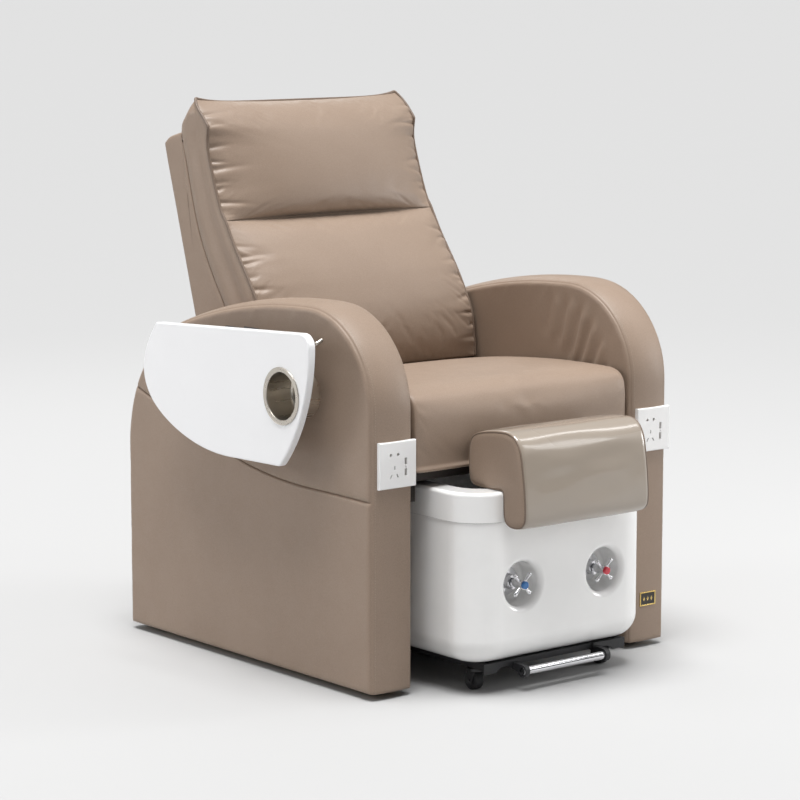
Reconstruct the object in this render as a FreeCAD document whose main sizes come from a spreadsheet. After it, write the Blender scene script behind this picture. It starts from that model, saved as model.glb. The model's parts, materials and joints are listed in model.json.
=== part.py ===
import FreeCAD, Part
import math
import os
import Sketcher
from FreeCAD import Placement, Rotation, Vector

# Pedicure spa chair: two upholstered arms carry a seat and a reclining back; a foot basin on a
# small trolley slides in between the arms.  Millimetres.  Frame: X to the sitter's left, the chair
# faces -Y, Z up, origin on the floor below the middle of the chair.

doc = FreeCAD.newDocument("PedicureSpaChair")
sheet = doc.addObject("Spreadsheet::Sheet", "Sizes")

DRIVING_SIZES = [
    # the two arms
    ("ChairWidth", 745), ("ArmWidth", 100), ("ArmFront", 392), ("ArmRear", 393), ("ArmBase", 12),
    ("ArmTop", 713), ("ArmFrontRadius", 185), ("ArmTopRadius", 1270), ("ArmRearRadius", 280),
    ("PaddingThick", 12), ("ArmFrameWall", 24),
    # seat
    ("SeatHalfWidth", 266), ("SeatFront", 389), ("SeatBottom", 412.5), ("SeatCrest", 563),
    ("DeckThick", 18), ("DeckTop", 412), ("RailWide", 29), ("RailHigh", 40),
    # back, measured along and square to a line tilted back from the pivot
    ("PivotBehind", 200), ("PivotHigh", 480), ("BackTilt", 16.5), ("BackHalfWidth", 264),
    ("ShellRear", 65), ("ShellTop", 547), ("ShellBottom", 30), ("ShellWall", 12), ("FrameTube", 25),
    ("PivotPinRadius", 6), ("RunningClearance", 0.05),
    # reclining actuator
    ("ActuatorBaseBehind", 300), ("ActuatorBaseHigh", 90), ("LeverDrop", 46),
    ("LeverAhead", 53), ("RodRadius", 9),
    # basin and its trolley
    ("BasinHalfWidth", 228), ("BasinFront", 506), ("BasinRear", 60), ("BasinCorner", 72),
    ("BasinBottom", 58), ("BasinBottomRadius", 45), ("BasinSeam", 327), ("BasinTop", 382),
    ("BasinWall", 4), ("BowlFloor", 112), ("BowlWall", 5), ("RimWide", 44), ("RimThick", 6),
    ("TapApart", 206), ("TapHigh", 202), ("RecessRadius", 42), ("RecessDepth", 52),
    ("RecessLip", 12), ("CasterApart", 320), ("CasterFront", 440), ("CasterRear", 120),
    ("CasterTrail", 8), ("WheelRadius", 18), ("WheelWide", 18), ("FrameUnder", 46),
    # foot rest pad
    ("PadHalfWidth", 156.5), ("PadFront", 567), ("PadRear", 411), ("PadTop", 494), ("PadBottom", 318),
    # side tray
    ("TrayOut", 452), ("TrayThick", 16), ("TrayAxisOut", 410), ("TrayAxisHigh", 652),
    ("CupRadius", 45), ("CupFlange", 54), ("CupDeep", 58), ("CupAhead", 230), ("CupHigh", 555),
    # electrical plates
    ("SocketPlate", 86), ("SocketThick", 8), ("SocketHigh", 393),
]
for row, (alias, value) in enumerate(DRIVING_SIZES, start=1):
    sheet.set("A%d" % row, alias)
    sheet.set("B%d" % row, str(value))
    sheet.setAlias("B%d" % row, alias)
doc.recompute()


class Size(float):
    """A number from the sheet that keeps the expression it was worked out with."""

    def __new__(cls, value, text):
        size = super().__new__(cls, value)
        size.text = text
        return size

    def __add__(self, other):
        return Size(float(self) + float(other), "(%s + %s)" % (self.text, text_of(other)))

    def __radd__(self, other):
        return Size(float(other) + float(self), "(%s + %s)" % (text_of(other), self.text))

    def __sub__(self, other):
        return Size(float(self) - float(other), "(%s - %s)" % (self.text, text_of(other)))

    def __rsub__(self, other):
        return Size(float(other) - float(self), "(%s - %s)" % (text_of(other), self.text))

    def __mul__(self, other):
        return Size(float(self) * float(other), "(%s * %s)" % (self.text, text_of(other)))

    def __rmul__(self, other):
        return Size(float(other) * float(self), "(%s * %s)" % (text_of(other), self.text))

    def __truediv__(self, other):
        return Size(float(self) / float(other), "(%s / %s)" % (self.text, text_of(other)))

    def __neg__(self):
        return Size(-float(self), "(0 - %s)" % self.text)


def text_of(number):
    return number.text if isinstance(number, Size) else "%.5f" % number


def size(alias):
    """A driving dimension of the sheet."""
    return Size(float(sheet.get(alias)), "Sizes." + alias)


def bind(thing, prop, number):
    """Set a number on an object, tied to the sheet when it comes from there."""
    if isinstance(number, Size):
        thing.setExpression(prop, number.text)
    else:
        thing.setExpression(prop, "%.5f" % number)


def place(thing, at, rotation=None):
    thing.Placement = Placement(Vector(*[float(part) for part in at]), rotation or Rotation())
    for axis, number in zip("xyz", at):
        if isinstance(number, Size):
            thing.setExpression("Placement.Base." + axis, number.text)
    return thing


TURN = {"Z": Rotation(), "X": Rotation(Vector(0, 1, 0), 90), "Y": Rotation(Vector(1, 0, 0), -90)}


def box(label, extent, at, rotation=None):
    thing = doc.addObject("Part::Box", label)
    for prop, number in zip(("Length", "Width", "Height"), extent):
        bind(thing, prop, number)
    return place(thing, at, rotation)


def cylinder(label, radius, length, at, axis="Z"):
    """A cylinder that runs from `at` along +X, +Y or +Z."""
    thing = doc.addObject("Part::Cylinder", label)
    bind(thing, "Radius", radius)
    bind(thing, "Height", length)
    return place(thing, at, TURN[axis])


def cone(label, radius, end_radius, length, at, axis="Z"):
    thing = doc.addObject("Part::Cone", label)
    bind(thing, "Radius1", radius)
    bind(thing, "Radius2", end_radius)
    bind(thing, "Height", length)
    return place(thing, at, TURN[axis])


def fuse(label, *pieces):
    thing = doc.addObject("Part::MultiFuse", label)
    thing.Shapes = list(pieces)
    return thing


def group(label, *pieces):
    """Separate solids that share one sub-part."""
    thing = doc.addObject("Part::Compound", label)
    thing.Links = list(pieces)
    return thing


def cut(label, base, *tools):
    thing = doc.addObject("Part::Cut", label)
    thing.Base = base
    thing.Tool = tools[0] if len(tools) == 1 else fuse(label + "_cutters", *tools)
    return thing


def fillet(label, base, radius, wanted):
    """Round the edges of `base` for which wanted(edge) is true."""
    doc.recompute()
    thing = doc.addObject("Part::Fillet", label)
    thing.Base = base
    numbers = [number for number, edge in enumerate(base.Shape.Edges, start=1) if wanted(edge)]
    thing.Edges = [(number, float(radius), float(radius)) for number in numbers]
    return thing


def feature(label, shape):
    """A sub-part whose shape Part's own functions make from the sheet's sizes."""
    thing = doc.addObject("Part::Feature", label)
    thing.Shape = shape
    return thing


# --- sketches -----------------------------------------------------------------------------------

def flat(point):
    return Vector(float(point[0]), float(point[1]), 0)


def add_loop(sketch, loop):
    """One closed loop: a circle, or a start point and its line and arc steps."""
    if loop[0] == "circle":
        centre_point, radius = loop[1], loop[2]
        number = sketch.addGeometry(Part.Circle(flat(centre_point), Vector(0, 0, 1), float(radius)))
        sketch.addConstraint(Sketcher.Constraint("Radius", number, float(radius)))
        if isinstance(radius, Size):
            sketch.setExpression("Constraints[%d]" % (sketch.ConstraintCount - 1), radius.text)
        sketch.addConstraint(Sketcher.Constraint("DistanceX", -1, 1, number, 3, float(centre_point[0])))
        sketch.addConstraint(Sketcher.Constraint("DistanceY", -1, 1, number, 3, float(centre_point[1])))
        return
    here = loop[0]
    pins = []
    middles = []
    for step in loop[1:]:
        there = step[-1]
        if step[0] == "line":
            number = sketch.addGeometry(Part.LineSegment(flat(here), flat(there)))
            pins.append((number, 1, 2, there))
        else:
            curve = Part.Arc(flat(here), flat(step[1]), flat(there)).toShape().Curve
            centre_point, radius = curve.Center, curve.Radius
            first = math.atan2(here[1] - centre_point.y, here[0] - centre_point.x)
            last = math.atan2(there[1] - centre_point.y, there[0] - centre_point.x)
            onwards = (flat(step[1]) - flat(here)).cross(flat(there) - flat(here)).z > 0
            circle = Part.Circle(centre_point, Vector(0, 0, 1), radius)
            span = (first, last) if onwards else (last, first)
            number = sketch.addGeometry(Part.ArcOfCircle(circle, *span))
            chord = flat(there) - flat(here)
            kind = "DistanceY" if abs(chord.x) > abs(chord.y) else "DistanceX"
            middles.append((kind, number, centre_point.y if kind == "DistanceY" else centre_point.x))
            pins.append((number, 1, 2, there) if onwards else (number, 2, 1, there))
        here = there
    for index, (number, start, end, there) in enumerate(pins):
        following, next_start = pins[(index + 1) % len(pins)][:2]
        sketch.addConstraint(Sketcher.Constraint("Coincident", number, end, following, next_start))
        for kind, value in (("DistanceX", there[0]), ("DistanceY", there[1])):
            sketch.addConstraint(Sketcher.Constraint(kind, -1, 1, number, end, float(value)))
            if isinstance(value, Size):
                sketch.setExpression("Constraints[%d]" % (sketch.ConstraintCount - 1), value.text)
    for kind, number, value in middles:
        sketch.addConstraint(Sketcher.Constraint(kind, -1, 1, number, 3, value))


def new_body(label, at, rotation=None):
    body = doc.addObject("PartDesign::Body", label)
    return place(body, at, rotation)


def new_sketch(body, plane, loops):
    sketch = body.newObject("Sketcher::SketchObject", body.Name + "_outline")
    origin = [item for item in body.Origin.OriginFeatures if item.Role == plane][0]
    sketch.AttachmentSupport = (origin, "")
    sketch.MapMode = "FlatFace"
    for loop in loops:
        add_loop(sketch, loop)
    return sketch


def pad(label, plane, loops, length, at=(0, 0, 0), rotation=None):
    """A body padded from a sketch: +X from YZ_Plane, -Y from XZ_Plane, +Z from XY_Plane."""
    body = new_body(label, at, rotation)
    sketch = new_sketch(body, plane, loops)
    step = body.newObject("PartDesign::Pad", body.Name + "_pad")
    step.Profile = sketch
    bind(step, "Length", length)
    return body


def turned(label, loop, at=(0, 0, 0), rotation=None):
    """A body turned about its own Z axis from a half outline in XZ (radius, height)."""
    body = new_body(label, at, rotation)
    sketch = new_sketch(body, "XZ_Plane", [loop])
    step = body.newObject("PartDesign::Revolution", body.Name + "_turn")
    step.Profile = sketch
    step.ReferenceAxis = (sketch, ["V_Axis"])
    step.Angle = 360
    return body


def lines(*points):
    """A loop of straight sides through the points."""
    return [points[-1]] + [("line", point) for point in points]


def rectangle(low_x, low_y, high_x, high_y):
    return lines((low_x, low_y), (high_x, low_y), (high_x, high_y), (low_x, high_y))


# --- arms ---------------------------------------------------------------------------------------

ARM_INNER = size("ChairWidth") / 2 - size("ArmWidth")
ARM_OUTER = size("ChairWidth") / 2


def arm_profile(inset, bottom):
    """Side view of an arm: straight front, round front top, long crest, round rear top."""
    front = -size("ArmFront") + inset
    rear = size("ArmRear") - inset
    nose = size("ArmFrontRadius") - inset
    crest = size("ArmTopRadius") - inset
    heel = size("ArmRearRadius") - inset
    nose_centre = (front + nose, size("ArmTop") - inset - nose)
    crest_centre = (nose_centre[0], size("ArmTop") - inset - crest)
    across = (rear - heel) - crest_centre[0]
    rise = math.sqrt((crest - heel) ** 2 - across ** 2)
    heel_centre = (rear - heel, crest_centre[1] + rise)
    lean = math.atan2(across, rise)

    def on(centre_point, radius, angle):
        return (centre_point[0] + radius * math.sin(angle), centre_point[1] + radius * math.cos(angle))

    meet = on(crest_centre, crest, lean)
    return [(front, bottom),
            ("line", (front, nose_centre[1])),
            ("arc", on(nose_centre, nose, -math.pi / 4), (nose_centre[0], size("ArmTop") - inset)),
            ("arc", on(crest_centre, crest, lean / 2), meet),
            ("arc", on(heel_centre, heel, (lean + math.pi / 2) / 2), (rear, heel_centre[1])),
            ("line", (rear, bottom)),
            ("line", (front, bottom))]


SOCKET_LEFT_EDGES = {"right": -358.7, "left": 285.5}
SOCKET_BOX_SIDE = 64
SOCKET_BOX_DEEP = 36


def socket_cutter(side):
    """The hole in an arm's front that the socket's back box fills."""
    margin = (size("SocketPlate") - SOCKET_BOX_SIDE) / 2
    at = (SOCKET_LEFT_EDGES[side] + margin, -size("ArmFront") - 1, size("SocketHigh") + margin)
    return box("socket_hole_" + side, (SOCKET_BOX_SIDE, SOCKET_BOX_DEEP + 1, SOCKET_BOX_SIDE), at)


def arm_cover(side):
    """Padded outside of an arm, open below, hollow for its frame."""
    left_edge = -ARM_OUTER if side == "right" else ARM_INNER
    padding = size("PaddingThick")
    outside = pad("arm_outside_" + side, "YZ_Plane", [arm_profile(0, size("ArmBase"))],
                  size("ArmWidth"), (left_edge, 0, 0))
    hollow = pad("arm_hollow_" + side, "YZ_Plane", [arm_profile(padding, size("ArmBase") - 5)],
                 size("ArmWidth") - 2 * padding, (left_edge + padding, 0, 0))
    return cut("arm_cover_" + side, outside, hollow, socket_cutter(side))


arm_middle = ARM_OUTER - size("ArmWidth") / 2
GLIDE_ENDS = (-340, 340)
GLIDE_STEM = 4


def stem_holes(side):
    """The holes in an arm's frame that the floor glides' stems go into."""
    x = -arm_middle if side == "right" else arm_middle
    radius = GLIDE_STEM + size("RunningClearance")
    return [cylinder("stem_hole_%s_%d" % (side, number), radius, 40, (x, y, -5))
            for number, y in enumerate(GLIDE_ENDS, start=1)]


def arm_frame(side):
    """Plywood ring inside an arm with one upright in the middle."""
    left_edge = -ARM_OUTER if side == "right" else ARM_INNER
    inset = size("PaddingThick") + 0.2
    wall = size("ArmFrameWall")
    wide = size("ArmWidth") - 2 * inset
    ring = pad("arm_ring_" + side, "YZ_Plane",
               [arm_profile(inset, size("ArmBase") + 0.5),
                arm_profile(inset + wall, size("ArmBase") + 0.5 + wall)],
               wide, (left_edge + inset, 0, 0))
    upright_top = 665
    upright = box("arm_upright_" + side, (wide, 60, upright_top - 20), (left_edge + inset, -20, 20))
    return cut("arm_frame_" + side, fuse("arm_ring_upright_" + side, ring, upright),
               socket_cutter(side), *stem_holes(side))


for side in ("right", "left"):
    arm_cover(side)
group("arm_frames", arm_frame("right"), arm_frame("left"))


def glide(name, x, y):
    """Round floor glide with a stem up into the arm's frame."""
    under_arm = size("ArmBase") - 0.2
    stem_top = size("ArmBase") + 15
    foot = [(0, 0), ("line", (17, 0)), ("line", (19, 3)), ("line", (19, under_arm)),
            ("line", (GLIDE_STEM, under_arm)), ("line", (GLIDE_STEM, stem_top)),
            ("line", (0, stem_top)), ("line", (0, 0))]
    return turned(name, foot, (x, y, 0))


glide_places = [(sign * arm_middle, end) for sign in (-1, 1) for end in GLIDE_ENDS]
group("arm_glides", *[glide("glide_%d" % number, x, y)
                      for number, (x, y) in enumerate(glide_places, start=1)])

# --- seat ---------------------------------------------------------------------------------------

rail_bottom = size("DeckTop") - size("DeckThick") - size("RailHigh")
REAR_PANEL_FRONT = 371
rail_long = REAR_PANEL_FRONT - 1 + 360
box("seat_deck", (2 * ARM_INNER - 1, 430, size("DeckThick")),
    (-ARM_INNER + 0.5, -370, size("DeckTop") - size("DeckThick")))
group("seat_rails",
      box("seat_rail_right", (size("RailWide"), rail_long, size("RailHigh")),
          (-ARM_INNER + 0.3, -360, rail_bottom)),
      box("seat_rail_left", (size("RailWide"), rail_long, size("RailHigh")),
          (ARM_INNER - size("RailWide") - 0.3, -360, rail_bottom)))

inner_rail = 2 * (ARM_INNER - size("RailWide")) - 2
group("rear_rails",
      box("rear_rail_low", (2 * ARM_INNER - 1, 38, 60), (-ARM_INNER + 0.5, 332, 50)),
      box("rear_rail_high", (inner_rail, 38, 40), (-inner_rail / 2, 332, 352)))

front_face = -size("SeatFront")
crest_top = size("SeatCrest")
SEAT_REAR = 46
pad("seat_cushion", "YZ_Plane",
    [[(front_face, size("SeatBottom")),
      ("line", (front_face, crest_top - 22)),
      ("arc", (front_face + 5, crest_top - 8), (front_face + 20, crest_top - 2)),
      ("arc", (front_face + 150, crest_top), (front_face + 300, crest_top - 12)),
      ("line", (SEAT_REAR, crest_top - 32)),
      ("line", (SEAT_REAR, size("SeatBottom"))),
      ("line", (front_face, size("SeatBottom")))]],
    2 * size("SeatHalfWidth"), (-size("SeatHalfWidth"), 0, 0))

# upholstered board that closes the chair behind, below the back, with a hole for the mains inlet
INLET_MIDDLE = (-175, 152)
INLET_WIDE, INLET_HIGH = 48, 28
inlet_low = (INLET_MIDDLE[0] - INLET_WIDE / 2, INLET_MIDDLE[1] - INLET_HIGH / 2)
PANEL_LOW, PANEL_HIGH, PANEL_THICK = 30, 430, 20
upright_panel = pad("rear_upright_panel", "XZ_Plane",
    [rectangle(-ARM_INNER + 0.7, PANEL_LOW, ARM_INNER - 0.7, PANEL_HIGH),
     rectangle(inlet_low[0], inlet_low[1], inlet_low[0] + INLET_WIDE, inlet_low[1] + INLET_HIGH)],
    PANEL_THICK, (0, REAR_PANEL_FRONT + PANEL_THICK, 0))
SHELF_DEEP, SHELF_THICK = 84, 14
shelf = box("rear_shelf", (2 * ARM_INNER - 1.4, SHELF_DEEP + 2, SHELF_THICK),
            (-ARM_INNER + 0.7, REAR_PANEL_FRONT - SHELF_DEEP, PANEL_HIGH - SHELF_THICK))
fuse("rear_panel", upright_panel, shelf)

# --- back ---------------------------------------------------------------------------------------

tilt = float(size("BackTilt"))
back_turn = Rotation(Vector(1, 0, 0), -tilt)
pivot = (0, size("PivotBehind"), size("PivotHigh"))


def back_at(x):
    """Where a back part's own frame sits: at the pivot, `x` to the side."""
    return (x, pivot[1], pivot[2])


def back_pad(label, loops, width):
    """A part of the back, centred in X.  Outline points are (-forward, along the back)."""
    return pad(label, "YZ_Plane", loops, width, back_at(-width / 2), back_turn)


# outline points: how far in front of the pivot line, and how far up along it
SHELL_FRONT = [(70, 30), (60, 120), (44, 185), (25, 244), (8, 314), (2, 381), (3, 470), (5, 547)]
PIPED_EDGE = [(150, 14), (160, 108), (150, 169), (136, 216), (113, 282), (96, 340), (88, 371),
              (82, 437), (82, 495), (88, 535)]


def turned_back(points, gap=0.0):
    """Outline points as sketch points, `gap` further forward."""
    return [(-(forward + gap), up) for forward, up in points]


shell_rear = size("ShellRear")
shell_wall = size("ShellWall")
shell_top = size("ShellTop")
shell_low = size("ShellBottom")
shell_width = 2 * (size("BackHalfWidth") - 2)
outside = back_pad("shell_outside", [lines(*turned_back(SHELL_FRONT), (shell_rear - 12, shell_top),
                                           (shell_rear, shell_top - 12), (shell_rear, shell_low))],
                   shell_width)
inside_front = turned_back(SHELL_FRONT[:-1], 40)
inside = back_pad("shell_inside", [lines(*inside_front, (-45, shell_top - shell_wall),
                                         (shell_rear - shell_wall, shell_top - shell_wall),
                                         (shell_rear - shell_wall, shell_low - 5),
                                         (inside_front[0][0], shell_low - 5))],
                  shell_width - 2 * shell_wall)
SKIRT_DROP, SKIRT_HALF = 40, 236
skirt = back_pad("shell_skirt", [rectangle(shell_rear - shell_wall, -SKIRT_DROP,
                                           shell_rear, shell_low + 5)], 2 * SKIRT_HALF)
fuse("back_shell", cut("shell_hollowed", outside, inside), skirt)

cushion_front = turned_back(PIPED_EDGE)
cushion_rear = turned_back(SHELL_FRONT, 0.5)
back_pad("back_cushion", [lines(*cushion_front, (-58, 592), (-40, 578), *reversed(cushion_rear))],
         2 * size("BackHalfWidth"))

lumbar_back = turned_back([point for point in PIPED_EDGE if point[1] <= 282], 0.5)
back_pad("lumbar_pillow",
         [[lumbar_back[0],
           ("arc", (-193, 70), (-178, 190)),
           ("arc", (-162, 262), (-128, 322)),
           ("line", (-112, 336)),
           ("line", (-99, 330))] + [("line", point) for point in reversed(lumbar_back)]],
         2 * size("BackHalfWidth") - 6)
head_back = turned_back([point for point in PIPED_EDGE if point[1] >= 371], 0.5)
back_pad("head_pillow",
         [[(-97, 342),
           ("line", (-112, 340)),
           ("arc", (-132, 430), (-118, 530)),
           ("arc", (-98, 572), (-64, 594)),
           ("line", (-59.5, 590))] + [("line", point) for point in reversed(head_back)]
          + [("line", (-97, 342))]],
         2 * size("BackHalfWidth") - 6)

# welded steel frame inside the shell; its lugs turn on the pivot pins, its lever takes the rod
tube = size("FrameTube")
pin_hole = size("PivotPinRadius") + size("RunningClearance")
LUG_INNER, LUG_THICK = 237, 6
UPRIGHT_BACK = 20
frame_pieces = []
for side, sign in (("right", -1), ("left", 1)):
    upright_x = -LUG_INNER if sign < 0 else LUG_INNER - tube
    frame_pieces.append(pad("back_upright_" + side, "YZ_Plane",
                            [rectangle(UPRIGHT_BACK, shell_low, UPRIGHT_BACK + tube, 520)],
                            tube, back_at(upright_x), back_turn))
    lug_x = -LUG_INNER - LUG_THICK if sign < 0 else LUG_INNER
    lug = [(-16, 0), ("arc", (0, -16), (16, 0)), ("line", (UPRIGHT_BACK + tube, 60)),
           ("line", (UPRIGHT_BACK, 90)), ("line", (-16, 0))]
    frame_pieces.append(pad("back_lug_" + side, "YZ_Plane", [lug, ("circle", (0, 0), pin_hole)],
                            LUG_THICK, back_at(lug_x), back_turn))
for number, up in enumerate((shell_low, 270, 495), start=1):
    frame_pieces.append(pad("back_crossbar_%d" % number, "YZ_Plane",
                            [rectangle(UPRIGHT_BACK, up, UPRIGHT_BACK + tube, up + tube)],
                            2 * LUG_INNER, back_at(-LUG_INNER), back_turn))
LEVER_INNER, LEVER_THICK, LEVER_PIN = 9, 6, 5
lever_drop = size("LeverDrop")
lever_ahead = size("LeverAhead")
for side, lever_x in (("right", -LEVER_INNER - LEVER_THICK), ("left", LEVER_INNER)):
    lever = [(-lever_ahead - 10, -lever_drop + 9),
             ("arc", (-lever_ahead, -lever_drop - 13.5), (-lever_ahead + 10, -lever_drop - 9)),
             ("line", (50, 38)), ("line", (24, 62)), ("line", (-lever_ahead - 10, -lever_drop + 9))]
    frame_pieces.append(pad("lever_" + side, "YZ_Plane", [lever], LEVER_THICK, back_at(lever_x)))
lever_long = LEVER_INNER + LEVER_THICK + 4
frame_pieces.append(cylinder("lever_pin", LEVER_PIN, 2 * lever_long,
                             (-lever_long, pivot[1] - lever_ahead, pivot[2] - lever_drop), "X"))
fuse("back_frame", *frame_pieces)

# steel brackets on the seat rails, with the two pivot pins
BRACKET_X, BRACKET_THICK = 245, 6
brackets = []
pins = []
for side, sign in (("right", -1), ("left", 1)):
    foot_x = -ARM_INNER + 1.5 if sign < 0 else BRACKET_X
    plate_x = -BRACKET_X - BRACKET_THICK if sign < 0 else BRACKET_X
    deck_under = size("DeckTop") - size("DeckThick")
    foot = box("bracket_foot_" + side, (ARM_INNER - BRACKET_X - 1.5, 100, 6),
               (foot_x, pivot[1] - 50, deck_under))
    low = deck_under - pivot[2]
    plate = pad("bracket_plate_" + side, "YZ_Plane",
                [[(-22, low), ("line", (-18, 0)), ("arc", (0, 18), (18, 0)), ("line", (22, low)),
                  ("line", (-22, low))],
                 ("circle", (0, 0), size("PivotPinRadius"))],
                BRACKET_THICK, (plate_x, pivot[1], pivot[2]))
    brackets.append(fuse("pivot_bracket_" + side, foot, plate))
    reach = BRACKET_X + BRACKET_THICK - 234
    pin_x = -BRACKET_X - BRACKET_THICK if sign < 0 else 234
    head_x = -BRACKET_X - BRACKET_THICK - 4 if sign < 0 else BRACKET_X + BRACKET_THICK
    pins.append(fuse("pivot_pin_" + side,
                     cylinder("pin_shank_" + side, size("PivotPinRadius"), reach,
                              (pin_x, pivot[1], pivot[2]), "X"),
                     cylinder("pin_head_" + side, 10, 4, (head_x, pivot[1], pivot[2]), "X")))
group("pivot_brackets", *brackets)
group("pivot_pins", *pins)

# --- reclining actuator -------------------------------------------------------------------------

base_y = size("ActuatorBaseBehind")
base_z = size("ActuatorBaseHigh")
rod_y = pivot[1] - lever_ahead - base_y
rod_z = pivot[2] - lever_drop - base_z
rod_reach = math.hypot(rod_y, rod_z)
rod_lean = math.degrees(math.atan2(-rod_y, rod_z))
actuator_turn = Rotation(Vector(1, 0, 0), rod_lean)
BASE_PIN, EAR_THICK, EYE_THICK = 5, 5, 12
TUBE_TOP, GEARBOX_TOP = 265, 80
rod_radius = size("RodRadius")


def on_actuator(thing, local=(0, 0, 0), local_turn=None):
    """Place a piece made in the actuator's own frame, +Z along the rod from the base pin."""
    frame = Placement(Vector(0, base_y, base_z), actuator_turn)
    thing.Placement = frame.multiply(Placement(Vector(*[float(v) for v in local]),
                                               local_turn or Rotation()))
    return thing


eye = on_actuator(box("actuator_eye_block", (EYE_THICK, 22, 26), (0, 0, 0)), (-EYE_THICK / 2, -11, -8))
gearbox = on_actuator(box("actuator_gearbox", (52, 92, GEARBOX_TOP - 18), (0, 0, 0)), (-26, -68, 18))
motor = on_actuator(cylinder("actuator_motor", 20, 86, (0, 0, 0)), (0, -46, GEARBOX_TOP - 2))
sleeve = on_actuator(cylinder("actuator_sleeve", 18, TUBE_TOP - GEARBOX_TOP + 2, (0, 0, 0)),
                     (0, 0, GEARBOX_TOP - 2))
eye_bore = on_actuator(cylinder("actuator_eye_bore", BASE_PIN + size("RunningClearance"), 80, (0, 0, 0)),
                       (-40, 0, 0), TURN["X"])
rod_bore = on_actuator(cylinder("actuator_rod_bore", rod_radius + size("RunningClearance"), 200,
                                (0, 0, 0)), (0, 0, 95))
cut("actuator_housing", fuse("actuator_body", eye, gearbox, motor, sleeve), eye_bore, rod_bore)

rod = on_actuator(cylinder("actuator_rod_bar", rod_radius, rod_reach - 12 - 100, (0, 0, 0)), (0, 0, 100))
rod_eye = on_actuator(cylinder("actuator_rod_eye", 15, EYE_THICK, (0, 0, 0)),
                      (-EYE_THICK / 2, 0, rod_reach), TURN["X"])
# the eye's hole is wider than its pin: the linkage is left open here
rod_eye_hole = on_actuator(cylinder("actuator_rod_eye_hole", LEVER_PIN + 4, 40, (0, 0, 0)),
                           (-20, 0, rod_reach), TURN["X"])
cut("actuator_rod", fuse("actuator_rod_and_eye", rod, rod_eye), rod_eye_hole)

ears = []
for number, ear_x in enumerate((-EYE_THICK / 2 - 0.5 - EAR_THICK, EYE_THICK / 2 + 0.5), start=1):
    ears.append(pad("actuator_ear_%d" % number, "YZ_Plane",
                    [[(-12, 0), ("arc", (0, 12), (8.5, 8.5)), ("line", (31, 18)), ("line", (31, -35)),
                      ("line", (0, -12)), ("arc", (-8.5, -8.5), (-12, 0))]],
                    EAR_THICK, (ear_x, base_y, base_z)))
pin_long = EYE_THICK + 2 * EAR_THICK + 9
ears.append(cylinder("actuator_base_pin", BASE_PIN, pin_long, (-pin_long / 2, base_y, base_z), "X"))
fuse("actuator_bracket", *ears, box("actuator_bracket_plate", (60, 4, 60), (-30, 327.8, 50)))

# --- mains inlet, control box and recline switch -------------------------------------------------

box("power_box", (130, 36, 80), (90, REAR_PANEL_FRONT - 36.2, 160))

inlet = pad("inlet_body", "XZ_Plane",
            [rectangle(inlet_low[0] + 0.5, inlet_low[1] + 0.5, inlet_low[0] + INLET_WIDE - 0.5,
                       inlet_low[1] + INLET_HIGH - 0.5)],
            PANEL_THICK + 12, (0, REAR_PANEL_FRONT + PANEL_THICK, 0))
inlet_flange = pad("inlet_flange", "XZ_Plane",
                   [rectangle(inlet_low[0] - 5, inlet_low[1] - 5, inlet_low[0] + INLET_WIDE + 5,
                              inlet_low[1] + INLET_HIGH + 5)],
                   3, (0, REAR_PANEL_FRONT + PANEL_THICK + 3, 0))
inlet_hollow = box("inlet_hollow", (34, 20, 19),
                   (INLET_MIDDLE[0] - 17, REAR_PANEL_FRONT + PANEL_THICK - 16, INLET_MIDDLE[1] - 9.5))
inlet_pins = [box("inlet_pin_%d" % number, (2, 14, 5), (INLET_MIDDLE[0] + x - 1,
                                                        REAR_PANEL_FRONT + PANEL_THICK - 16.5,
                                                        INLET_MIDDLE[1] + z - 2.5))
              for number, (x, z) in enumerate(((-8, -2), (0, 3), (8, -2)), start=1)]
fuse("mains_inlet", cut("inlet_socket", fuse("inlet_block", inlet, inlet_flange), inlet_hollow),
     *inlet_pins)

SWITCH_Y, SWITCH_Z = -250, 600
SWITCH_WIDE, SWITCH_HIGH, SWITCH_THICK = 44, 74, 9
BUTTON_RADIUS, BUTTON_GAP, BUTTON_TRAVEL = 11, 17, 2.5
switch_face = ARM_OUTER + SWITCH_THICK
wells = [cylinder("switch_well_%d" % number, BUTTON_RADIUS + 0.3, 20,
                  (ARM_OUTER + 2, SWITCH_Y, SWITCH_Z + sign * BUTTON_GAP), "X")
         for number, sign in enumerate((1, -1), start=1)]
switch_plate = box("switch_plate", (SWITCH_THICK, SWITCH_WIDE, SWITCH_HIGH),
                   (ARM_OUTER + 0.1, SWITCH_Y - SWITCH_WIDE / 2, SWITCH_Z - SWITCH_HIGH / 2))
cut("switch_housing", fillet("switch_rounded", switch_plate, 4, lambda edge: edge.Length < 12), *wells)
for name, sign in (("recline_button_up", 1), ("recline_button_down", -1)):
    at = (ARM_OUTER + 2 + BUTTON_TRAVEL + 0.5, SWITCH_Y, SWITCH_Z + sign * BUTTON_GAP)
    key = cylinder("key_" + name, BUTTON_RADIUS, 7, at, "X")
    front_x = float(at[0]) + 7
    fillet(name, key, 1.2, lambda edge, front_x=front_x: abs(edge.BoundBox.XMax - front_x) < 0.1
           and edge.BoundBox.XLength < 0.1)

# --- power sockets and maker's plate on the arm fronts -------------------------------------------

plate_side = size("SocketPlate")


def slot(middle, wide, high, slant=0.0):
    """A narrow slot about `middle`, turned by `slant` degrees."""
    turn = math.radians(slant)
    corners = [(-wide / 2, -high / 2), (wide / 2, -high / 2), (wide / 2, high / 2), (-wide / 2, high / 2)]
    return lines(*[(middle[0] + x * math.cos(turn) - y * math.sin(turn),
                    middle[1] + x * math.sin(turn) + y * math.cos(turn)) for x, y in corners])


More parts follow.
